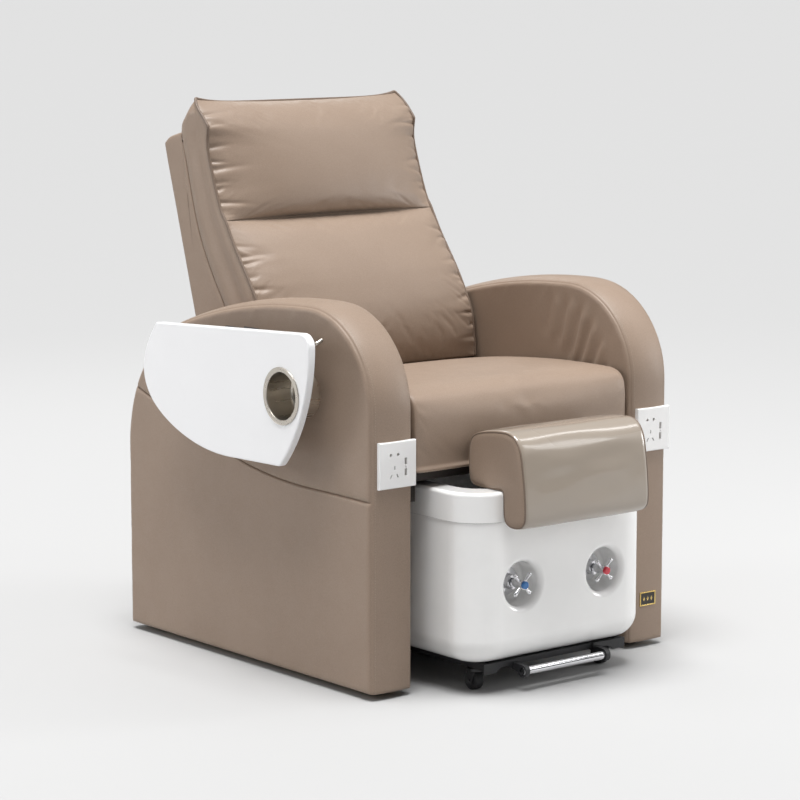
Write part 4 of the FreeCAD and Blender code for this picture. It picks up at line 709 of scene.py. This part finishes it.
# piped edge at the side, forward and up, from the seat to the inner corner and out to the ear's tip
PIPED = [(0.152, 0.016), (0.160, 0.060), (0.166, 0.108), (0.154, 0.169), (0.140, 0.216), (0.116, 0.282),
         (0.100, 0.340), (0.090, 0.371), (0.084, 0.437), (0.084, 0.495), (0.098, 0.532)]
EAR = [(0.098, 0.532), (0.086, 0.556), (0.072, 0.579), (0.061, 0.598)]
DIVISION = 0.340
piped_line = np.vstack([smooth_line(PIPED, 300), smooth_line(EAR, 60)[1:]])
HEAD_SIDE = resample(piped_line[piped_line[:, 1] >= DIVISION], 160)
LUMBAR_SIDE = resample(piped_line[piped_line[:, 1] <= DIVISION], 160)
HEAD_MIDDLE = [(0.101, 0.343), (0.122, 0.350), (0.132, 0.386), (0.135, 0.430), (0.132, 0.482),
               (0.121, 0.530), (0.100, 0.566), (0.066, 0.586)]
HEAD_REAR = [(0.099, 0.343), (0.094, 0.360), (0.086, 0.395), (0.082, 0.437), (0.082, 0.495),
             (0.080, 0.532), (0.074, 0.560), (0.064, 0.585)]
LUMBAR_MIDDLE = [(0.160, 0.016), (0.192, 0.060), (0.196, 0.110), (0.189, 0.170), (0.178, 0.222),
                 (0.156, 0.280), (0.128, 0.325), (0.101, 0.339)]


def ear_rise(share):
    """How the top edge lifts towards its two ears."""
    return np.abs(share) ** 7


def half_at(up):
    """Half width of the back at a height: full, then rounding in over the ears."""
    return BACK_HALF - EAR_ROUND * np.clip((np.asarray(up) - EAR_START) / (EAR_TIP - EAR_START), 0, 1) ** 2


def pillow(name, side, middle, rear, columns, rows, fullness, slot="pillow_cover"):
    """A soft pillow between the two piped edges: a domed front and a flatter rear, sewn all round."""
    u = 2 * bunched(columns, 0.55) - 1
    side = resample(side, rows)
    middle, rear = (smooth_line(points, rows) for points in (middle, rear))
    share = (1 - np.abs(u) ** 2.4) ** fullness
    sheets = []
    for inside, spread in ((middle, share), (rear, 1 - np.abs(u) ** 7)):
        flat = side[:, None, :] + (inside - side)[:, None, :] * spread[None, :, None]
        forward, up = flat[:, :, 0], flat[:, :, 1]
        x = u[None, :] * (half_at(up) - SEWN_IN)
        sheets.append((on_back(x, forward, up).reshape(-1, 3), grid_faces(rows, columns)))
    front, back = (points.reshape(rows, columns, 3) for points, _ in sheets)
    ends = [np.vstack([front[k], back[k]]) for k in (0, -1)]
    sheets += [(points, grid_faces(2, columns)) for points in ends]
    piece = assemble(name, sheets, [PILLOW], "backrest", slot)
    return piece, np.vstack([*ends, front[:, 0], front[:, -1]])


def wrinkled(piece, start, end, relief):
    """Press wrinkles into the front of a pillow between two heights, along its own normals."""
    points = np.array([vertex.co for vertex in piece.data.vertices])
    ways = np.array([vertex.normal for vertex in piece.data.vertices])
    up = (points[:, 1] - PIVOT.y) * math.sin(TILT) + (points[:, 2] - PIVOT.z) * math.cos(TILT)
    facing = -ways[:, 1] * math.cos(TILT) + ways[:, 2] * math.sin(TILT)
    edge = half_at(up) - SEWN_IN - np.abs(points[:, 0])
    shown = np.clip((facing + 0.05) / 0.25, 0, 1) * np.clip(edge / 0.003, 0, 1)
    shown = shown * np.clip(np.minimum(up - start, end - up) / 0.025, 0, 1)
    points = points + ways * (relief(up - start, edge, np.sign(points[:, 0])) * shown)[:, None]
    piece.data.vertices.foreach_set("co", points.ravel())
    piece.data.update()


def gathers(seed, long_side, count):
    """Random short gathers square to the piping: place along the seam, length, depth, lean, width."""
    dice = np.random.default_rng(seed)
    rows = []
    for hand in (-1, 1):
        for place in 0.10 + 0.80 * (np.arange(count) + 0.5) / count:
            rows.append((hand, (place + dice.uniform(-0.3, 0.3) / count) * long_side,
                         dice.uniform(0.014, 0.046), dice.uniform(1.2, 3.4) * MM,
                         dice.uniform(-0.25, 0.15), dice.uniform(0.0035, 0.0060)))
    return rows


def gathered(rows, along, edge, hand):
    """Height of the gathers: a narrow valley with a softer ridge below it."""
    rise = np.zeros(np.broadcast(along, edge).shape)
    for side, place, length, depth, lean, width in rows:
        off = along - place - lean * edge
        fade = np.exp(-(edge / length) ** 2) * (hand == side)
        rise = rise + depth * fade * (0.45 * np.exp(-((off + 2.2 * width) / (1.8 * width)) ** 2)
                                      - np.exp(-(off / width) ** 2))
    return rise


HEAD_LONG, LUMBAR_LONG = EAR_TIP - DIVISION, DIVISION - PIPED[0][1]
HEAD_GATHERS = gathers(7, HEAD_LONG, 9)
LUMBAR_GATHERS = gathers(19, LUMBAR_LONG, 10)


def head_wrinkles(along, edge, hand):
    """Gathers along the piping, and a drag line from the inner corner of each ear."""
    wide = 1.0 * MM * np.exp(-edge / 0.060) * ripple(along + 0.05 * hand, 2.6, 0.071)
    corner = 2.6 * MM * np.exp(-((along - 0.205 + edge * 0.4) / 0.008) ** 2) * np.exp(-edge / 0.05)
    return gathered(HEAD_GATHERS, along, edge, hand) + wide - corner


def lumbar_wrinkles(along, edge, hand):
    """Gathers along the piping, and a few wide shallow waves."""
    wide = 1.2 * MM * np.exp(-edge / 0.070) * ripple(along + 0.04 * hand, 0.7, 0.083)
    return gathered(LUMBAR_GATHERS, along, edge, hand) + wide


def finished_pillow(piece, seams, start, end, relief, node):
    """Blow the pillow up, refine it, press its wrinkles in, and let it stand for its solid."""
    inflated(piece, seams, pressure=3.0, cap=8 * MM, growth=0.002)
    refined(piece)
    wrinkled(piece, start, end, relief)
    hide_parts(node)
    settle(piece)


head, head_seams = pillow("head_pillow_cover", HEAD_SIDE, HEAD_MIDDLE, HEAD_REAR, 130, 96, 0.72)
finished_pillow(head, head_seams, DIVISION, EAR_TIP, head_wrinkles, "head_pillow")

lumbar_rear = np.vstack([LUMBAR_SIDE[::12], LUMBAR_SIDE[-1:]]) - (2 * MM, 0.0)
lumbar, lumbar_seams = pillow("lumbar_pillow_cover", LUMBAR_SIDE, LUMBAR_MIDDLE, lumbar_rear, 130, 104, 0.66)
finished_pillow(lumbar, lumbar_seams, PIPED[0][1], DIVISION, lumbar_wrinkles, "lumbar_pillow")

# the cushion that carries the pillows: soft side walls from the shell to the piped edge
SHELL_FRONT = [(0.070, 0.030), (0.060, 0.120), (0.044, 0.185), (0.025, 0.244), (0.008, 0.314),
               (0.002, 0.381), (0.003, 0.470), (0.005, 0.547)]
BACK_ROWS = 120
front_line = resample(piped_line, BACK_ROWS)
rear_line = smooth_line([(0.071, 0.016)] + SHELL_FRONT[1:] + [(0.030, 0.573), (0.059, 0.597)], BACK_ROWS)
WALL_COLUMNS, FACE_COLUMNS = 22, 30
wall = np.linspace(0, 1, WALL_COLUMNS)
v = np.linspace(0, 1, BACK_ROWS)
fold = (4.6 * MM * np.sin(wall[None, :] * 8.0 + v[:, None] * 1.6 + 0.4) * (0.35 + 0.65 * (1 - v[:, None]))
        + 1.0 * MM * ripple(v[:, None] * 0.6 + wall[None, :] * 0.05, 5.0, 0.26))
bulge = 5.0 * MM * np.sin(np.pi * wall)[None, :] ** 0.6 + fold * np.sin(np.pi * wall)[None, :]
bulge = bulge * np.clip((1 - v) / 0.06, 0, 1)[:, None]
ring = []
for sign in (1, -1):
    share = wall if sign > 0 else 1 - wall
    swell = bulge if sign > 0 else bulge[:, ::-1]
    line = front_line[:, None, :] + (rear_line - front_line)[:, None, :] * share[None, :, None]
    side_points = on_back(sign * (half_at(line[:, :, 1]) - 3 * MM + swell), line[:, :, 0], line[:, :, 1])
    part = np.linspace(sign, -sign, FACE_COLUMNS)[None, 1:-1]
    flat_line = rear_line if sign > 0 else front_line
    sag = (1 - ear_rise(part)) * np.clip((v - 0.86) / 0.14, 0, 1)[:, None] * 12 * MM
    flat_points = on_back(part * (half_at(flat_line[:, 1:]) - 3 * MM),
                          flat_line[:, :1] - (0.0 if sign > 0 else SEWN_IN), flat_line[:, 1:] - sag)
    ring += [side_points, flat_points]
body_points = np.concatenate(ring, axis=1)
around = body_points.shape[1]
cushion_faces = grid_faces(BACK_ROWS, around, False, True)
cushion_faces.append(tuple(range(around)))
cushion_faces.append(tuple((BACK_ROWS - 1) * around + k for k in range(around)))
cushion = assemble("back_cushion_cover", [(body_points.reshape(-1, 3), cushion_faces)], [TAUPE],
                   "backrest", "upholstery")
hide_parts("back_cushion")
settle(cushion)

# piping round the front edge, over both ears
share = np.linspace(-1, 1, 120)
top_edge = on_back(share * (half_at(EAR_TIP) - 1 * MM), 0.063 - 0.002 * ear_rise(share),
                   0.587 + 0.011 * ear_rise(share))
sides = [on_back(sign * (half_at(piped_line[:, 1]) - 1 * MM), *piped_line.T) for sign in (-1, 1)]
piping_line = resample(np.vstack([sides[0], top_edge[1:-1], sides[1][::-1]]), 700)
# the piping's darkened leathercloth is painted shade along the piped edge
piping = assemble("back_piping", [tube(piping_line, 3.0 * MM)], [SHADED_PIPING], "backrest", "upholstery")
settle(piping)

# upholstered shell behind the cushion, and the skirt that hangs from it into the chair
SHELL_HALF = BACK_HALF - 2 * MM
SHELL_REAR, SHELL_LOW, SHELL_TOP, SHELL_ROUND = -0.065, 0.030, 0.547, 0.022
SKIRT_HALF, SKIRT_DROP, SKIRT_THICK = 0.236, 0.040, 0.012
EDGE_IN = 3 * MM
SHELL_SIDE = [(SHELL_REAR, SHELL_LOW), (SHELL_REAR, 0.200), (SHELL_REAR, 0.400),
              (SHELL_REAR, SHELL_TOP - SHELL_ROUND), (SHELL_REAR + 0.006, SHELL_TOP - 0.006),
              (SHELL_REAR + SHELL_ROUND, SHELL_TOP), (SHELL_REAR + 0.045, SHELL_TOP), (0.004, SHELL_TOP)]
band_line = smooth_line(SHELL_SIDE, 120)
band_line = band_line - normals_of(band_line) * EDGE_IN
front_side = smooth_line(SHELL_FRONT[::-1], 90) - (EDGE_IN, 0.0)
shell_outline = np.vstack([band_line, front_side, resample([front_side[-1], band_line[0]], 20)[1:-1]])
band_share = len(band_line) / len(shell_outline)


def shell_crown(u, w):
    edge = (1 - np.abs(w)) * SHELL_HALF
    seen = np.clip((band_share - u) / 0.02, 0, 1)
    return seen * (2.6 * MM * round_edge(edge / 0.010) + 1.2 * MM * (1 - np.abs(w) ** 4))


def onto_back(piece):
    """Turn a piece modelled as (across, forward, up) onto the leaning back."""
    points = np.array([vertex.co for vertex in piece.data.vertices])
    piece.data.vertices.foreach_set("co", on_back(*points.T).ravel())
    piece.data.update()
    return piece


shell, _ = closed_cushion("back_shell_upholstery", shell_outline, SHELL_HALF - EDGE_IN, (-0.028, 0.300),
                          "backrest", "upholstery", shell_crown, [TAUPE], (EDGE_IN, 0.010, 18), 70)
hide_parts("back_shell")
settle(onto_back(shell))

skirt_outline = smooth_line([(SHELL_REAR + 1 * MM, SHELL_LOW + 5 * MM), (SHELL_REAR + 1 * MM, 0.0),
                             (SHELL_REAR + 2 * MM, -SKIRT_DROP),
                             (SHELL_REAR + SKIRT_THICK - 2 * MM, -SKIRT_DROP),
                             (SHELL_REAR + SKIRT_THICK - 1 * MM, 0.0),
                             (SHELL_REAR + SKIRT_THICK - 1 * MM, SHELL_LOW + 5 * MM)], 90, True)
skirt, _ = closed_cushion("back_shell_skirt", skirt_outline, SKIRT_HALF - 1 * MM,
                          (SHELL_REAR + SKIRT_THICK / 2, 0.0), "backrest", "upholstery",
                          lambda u, w: 0.6 * MM * (1 - np.abs(w) ** 8), [TAUPE], (1 * MM, 0.004, 8), 50)
settle(onto_back(skirt))

# --- foot rest pad ---

pad_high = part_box("footrest_pad")[1]
PAD_OUTLINE = [(-0.4125, 0.458), (-0.421, 0.474), (-0.440, 0.483), (-0.474, 0.489), (-0.507, 0.491),
               (-0.527, 0.488), (-0.541, 0.478), (-0.551, 0.460), (-0.557, 0.431), (-0.563, 0.386),
               (-0.565, 0.342), (-0.558, 0.326), (-0.544, 0.320), (-0.524, 0.321), (-0.512, 0.329),
               (-0.5085, 0.350), (-0.5075, 0.372), (-0.503, 0.3845), (-0.480, 0.3845), (-0.440, 0.3845),
               (-0.421, 0.388), (-0.413, 0.402), (-0.4115, 0.430)]
pad_line = smooth_line(PAD_OUTLINE, 200, True)


def pad_crown(u, w):
    edge = (1 - np.abs(w)) * (pad_high.x - 3 * MM)
    waves = 0.5 * MM * np.sin(u * 60.0) * np.sin(w * 4.0 + u * 9.0) * np.clip(edge / 0.03, 0, 1)
    return 2.8 * MM * round_edge(edge / 0.008) + 1.4 * MM * (1 - np.abs(w) ** 2) + waves


foot_pad, _ = closed_cushion("footrest_pad_cover", pad_line, pad_high.x - 3 * MM, (-0.530, 0.430),
                             "footrest", "upholstery", pad_crown, [FILM, TAUPE, TAUPE],
                             (3.2 * MM, 0.012, 18), 56)
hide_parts("footrest_pad")
settle(foot_pad)
pad_piping = []
for sign in (-1, 1):
    loop_points = np.column_stack([np.full(len(pad_line), sign * (pad_high.x - 2.6 * MM)), pad_line])
    pad_piping.append(tube(loop_points, 1.9 * MM, 8, True))
settle(assemble("footrest_piping", pad_piping, [SHADED_PIPING], "footrest", "upholstery"))

# --- rear panel and its shelf ---

rear_low, rear_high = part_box("rear_panel")
inlet_low, inlet_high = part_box("mains_inlet")
PANEL_MARGIN, HOLE_MARGIN = 3 * MM, 3 * MM


def rectangle(low_x, low_z, high_x, high_z, y, count):
    """A closed rectangular line, evenly spaced, in a plane of constant y."""
    corners = [(low_x, y, low_z), (high_x, y, low_z), (high_x, y, high_z), (low_x, y, high_z)]
    return resample(corners, count, True)


SHELF_DEEP, SHELF_THICK = 0.084, 0.014
PANEL_THICK, PANEL_PUFF = 0.020, 3 * MM
inlet_middle = np.array([(inlet_low.x + inlet_high.x) / 2, rear_high.y - PANEL_PUFF,
                         (inlet_low.z + inlet_high.z) / 2])
rear_outline = rectangle(rear_low.x + PANEL_MARGIN, rear_low.z + PANEL_MARGIN, rear_high.x - PANEL_MARGIN,
                         rear_high.z - PANEL_MARGIN, rear_high.y - PANEL_PUFF, 480)
half_hole = np.array([(inlet_high.x - inlet_low.x) / 2, (inlet_high.z - inlet_low.z) / 2]) + HOLE_MARGIN
away = (rear_outline - inlet_middle)[:, [0, 2]]
reach = 1 / np.maximum(np.abs(away[:, 0]) / half_hole[0], np.abs(away[:, 1]) / half_hole[1])
hole = inlet_middle + (rear_outline - inlet_middle) * reach[:, None]
to_front = np.array([0, PANEL_PUFF - PANEL_THICK, 0])
rear_skin = panel(rear_outline, inlet_middle, (0, 1, 0), PANEL_PUFF, 0.012, 40,
                  seam_gather(6.0, 0.4 * MM, 0.02, 0.06), hole)
front_skin = panel(rear_outline + to_front, inlet_middle, (0, 1, 0), 0.0, 0.012, 4, None, hole + to_front)
walls = [(np.vstack([line, line + to_front]), grid_faces(2, len(line), False, True))
         for line in (rear_outline, hole)]
rear_cover = assemble("rear_panel_cover", [rear_skin, front_skin, *walls], [TAUPE], "chair_base",
                      "upholstery")
settle(rear_cover)

shelf_front = rear_high.y - PANEL_THICK - SHELF_DEEP
shelf_top = rear_high.z - 0.5 * MM
shelf_outline = resample([(shelf_front, shelf_top - SHELF_THICK), (shelf_front, shelf_top),
                          (rear_high.y - PANEL_THICK, shelf_top),
                          (rear_high.y - PANEL_THICK, shelf_top - SHELF_THICK)], 100, True)
shelf, _ = closed_cushion("rear_shelf_cover", shelf_outline, rear_high.x - PANEL_MARGIN,
                          (shelf_front + SHELF_DEEP / 2, shelf_top - SHELF_THICK / 2), "chair_base",
                          "upholstery", lambda u, w: 0.5 * MM * (1 - np.abs(w) ** 6), [TAUPE],
                          (1 * MM, 0.004, 8), 50)
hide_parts("rear_panel")
settle(shelf)

# --- badge ---

badge_low, badge_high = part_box("badge_plate")


def bevelled_frame(low, high, inset, depth):
    """Rings of a picture-frame moulding: each ring is (inset from the edge, how far forward)."""
    corners = [(low.x, low.z), (high.x, low.z), (high.x, high.z), (low.x, high.z)]
    middle = np.array([(low.x + high.x) / 2, (low.z + high.z) / 2])
    points = []
    for step, ahead in zip(inset, depth):
        for corner in corners:
            towards = np.sign(middle - np.array(corner))
            x, z = np.array(corner) + towards * step
            points.append((x, high.y - ahead, z))
    return points


# rings of the gilt rim, then three raised lozenges whose feet sink into the dark field
frame_points = bevelled_frame(badge_low, badge_high, (0.0, 0.0, 0.6 * MM, 2.0 * MM, 2.6 * MM, 2.6 * MM),
                              (0.0, 1.2 * MM, 1.7 * MM, 1.7 * MM, 1.2 * MM, 0.9 * MM))
rim_faces = grid_faces(6, 4, False, True)
field_points = frame_points[-4:]
bars = []
bar_faces = []
LOZENGE_HALF, LOZENGE_PITCH = 3.4 * MM, 10 * MM
for number in range(3):
    x = badge_low.x + 11 * MM + number * LOZENGE_PITCH
    z = (badge_low.z + badge_high.z) / 2
    first = len(bars)
    half = LOZENGE_HALF
    bars += [(x - half, badge_high.y - 0.7 * MM, z), (x, badge_high.y - 0.7 * MM, z - 1.9 * half),
             (x + half, badge_high.y - 0.7 * MM, z), (x, badge_high.y - 0.7 * MM, z + 1.9 * half),
             (x, badge_high.y - 1.6 * MM, z)]
    bar_faces += [(first, first + 1, first + 4), (first + 1, first + 2, first + 4),
                  (first + 2, first + 3, first + 4), (first + 3, first, first + 4),
                  (first, first + 1, first + 2, first + 3)]
badge = assemble("badge_frame", [(frame_points, rim_faces + [(0, 1, 2, 3)]), (field_points, [(0, 1, 2, 3)]),
                                 (bars, bar_faces)], [GILT, DARK_FIELD, GILT], "chair_base", "gold_plate")
for polygon in badge.data.polygons:
    polygon.use_smooth = False
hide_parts("badge_plate")
settle(badge)

# --- stage, light and camera ---

bpy.ops.mesh.primitive_plane_add(size=600, location=(0, 0, 0))
floor = bpy.context.object
floor.name = "floor"
floor_finish = Finish("pale_floor")
floor_finish.fixed(Base_Color=(0.42, 0.42, 0.42, 1.0), Roughness=0.8)
floor.data.materials.append(floor_finish.material)

world = bpy.data.worlds.new("studio")
scene.world = world
world.use_nodes = True
sky = world.node_tree
height = sky.nodes.new("ShaderNodeSeparateXYZ")
shade = sky.nodes.new("ShaderNodeMapRange")
sky.links.new(sky.nodes.new("ShaderNodeTexCoord").outputs["Generated"], height.inputs["Vector"])
sky.links.new(height.outputs["Z"], shade.inputs["Value"])
HORIZON_LIGHT, ZENITH_LIGHT = 0.04, 0.52
shade.inputs["From Max"].default_value = 0.8
shade.inputs["To Min"].default_value = HORIZON_LIGHT
shade.inputs["To Max"].default_value = ZENITH_LIGHT
sky.links.new(shade.outputs["Result"], sky.nodes["Background"].inputs["Strength"])
sky.nodes["Background"].inputs["Color"].default_value = (1.0, 1.0, 1.0, 1.0)
backdrop = sky.nodes.new("ShaderNodeBackground")
backdrop.inputs["Color"].default_value = (0.78, 0.78, 0.78, 1.0)
chosen = sky.nodes.new("ShaderNodeMixShader")
sky.links.new(sky.nodes.new("ShaderNodeLightPath").outputs["Is Camera Ray"], chosen.inputs["Fac"])
sky.links.new(sky.nodes["Background"].outputs["Background"], chosen.inputs[1])
sky.links.new(backdrop.outputs["Background"], chosen.inputs[2])
sky.links.new(chosen.outputs["Shader"], sky.nodes["World Output"].inputs["Surface"])
scene.view_settings.view_transform = "Standard"


def aimed(name, lamp, place, aim):
    holder = bpy.data.objects.new(name, lamp)
    scene.collection.objects.link(holder)
    holder.location = place
    holder.rotation_euler = (Vector(aim) - Vector(place)).to_track_quat("-Z", "Y").to_euler()


def softbox(name, place, aim, wide, high, watts):
    lamp = bpy.data.lights.new(name, "AREA")
    lamp.shape = "RECTANGLE"
    lamp.size = wide
    lamp.size_y = high
    lamp.energy = watts
    aimed(name, lamp, place, aim)


key = bpy.data.lights.new("overhead_key", "SUN")
key.energy = 4.5
key.angle = math.radians(34)
aimed("overhead_key", key, (-0.35, -0.2, 3.2), (0, 0, 0.5))
softbox("left_fill", (-3.7, 2.5, 1.8), (0, 0, 0.5), 1.6, 1.6, 48)
softbox("front_fill", (3.2, -2.0, 1.1), (0, -0.3, 0.4), 1.0, 1.0, 34)
softbox("high_strip", (1.9, -1.1, 2.8), (0, -0.5, 0.45), 0.35, 1.8, 11)
softbox("low_strip", (1.9, -2.4, 1.95), (0, -0.5, 0.4), 0.25, 1.3, 5)
softbox("rear_rim", (1.5, 3.2, 2.6), (0, 0, 0.7), 2.0, 1.2, 14)

LENS, SENSOR = 129.05, 36.0
YAW, PITCH = math.radians(39.255), math.radians(8.614)
camera_data = bpy.data.cameras.new("camera")
camera_data.lens = LENS
camera_data.sensor_width = SENSOR
camera = bpy.data.objects.new("camera", camera_data)
camera.location = (-3.5554, -4.3695, 1.3311)
camera.rotation_euler = (math.pi / 2 - PITCH, 0, -YAW)
scene.collection.objects.link(camera)
scene.camera = camera
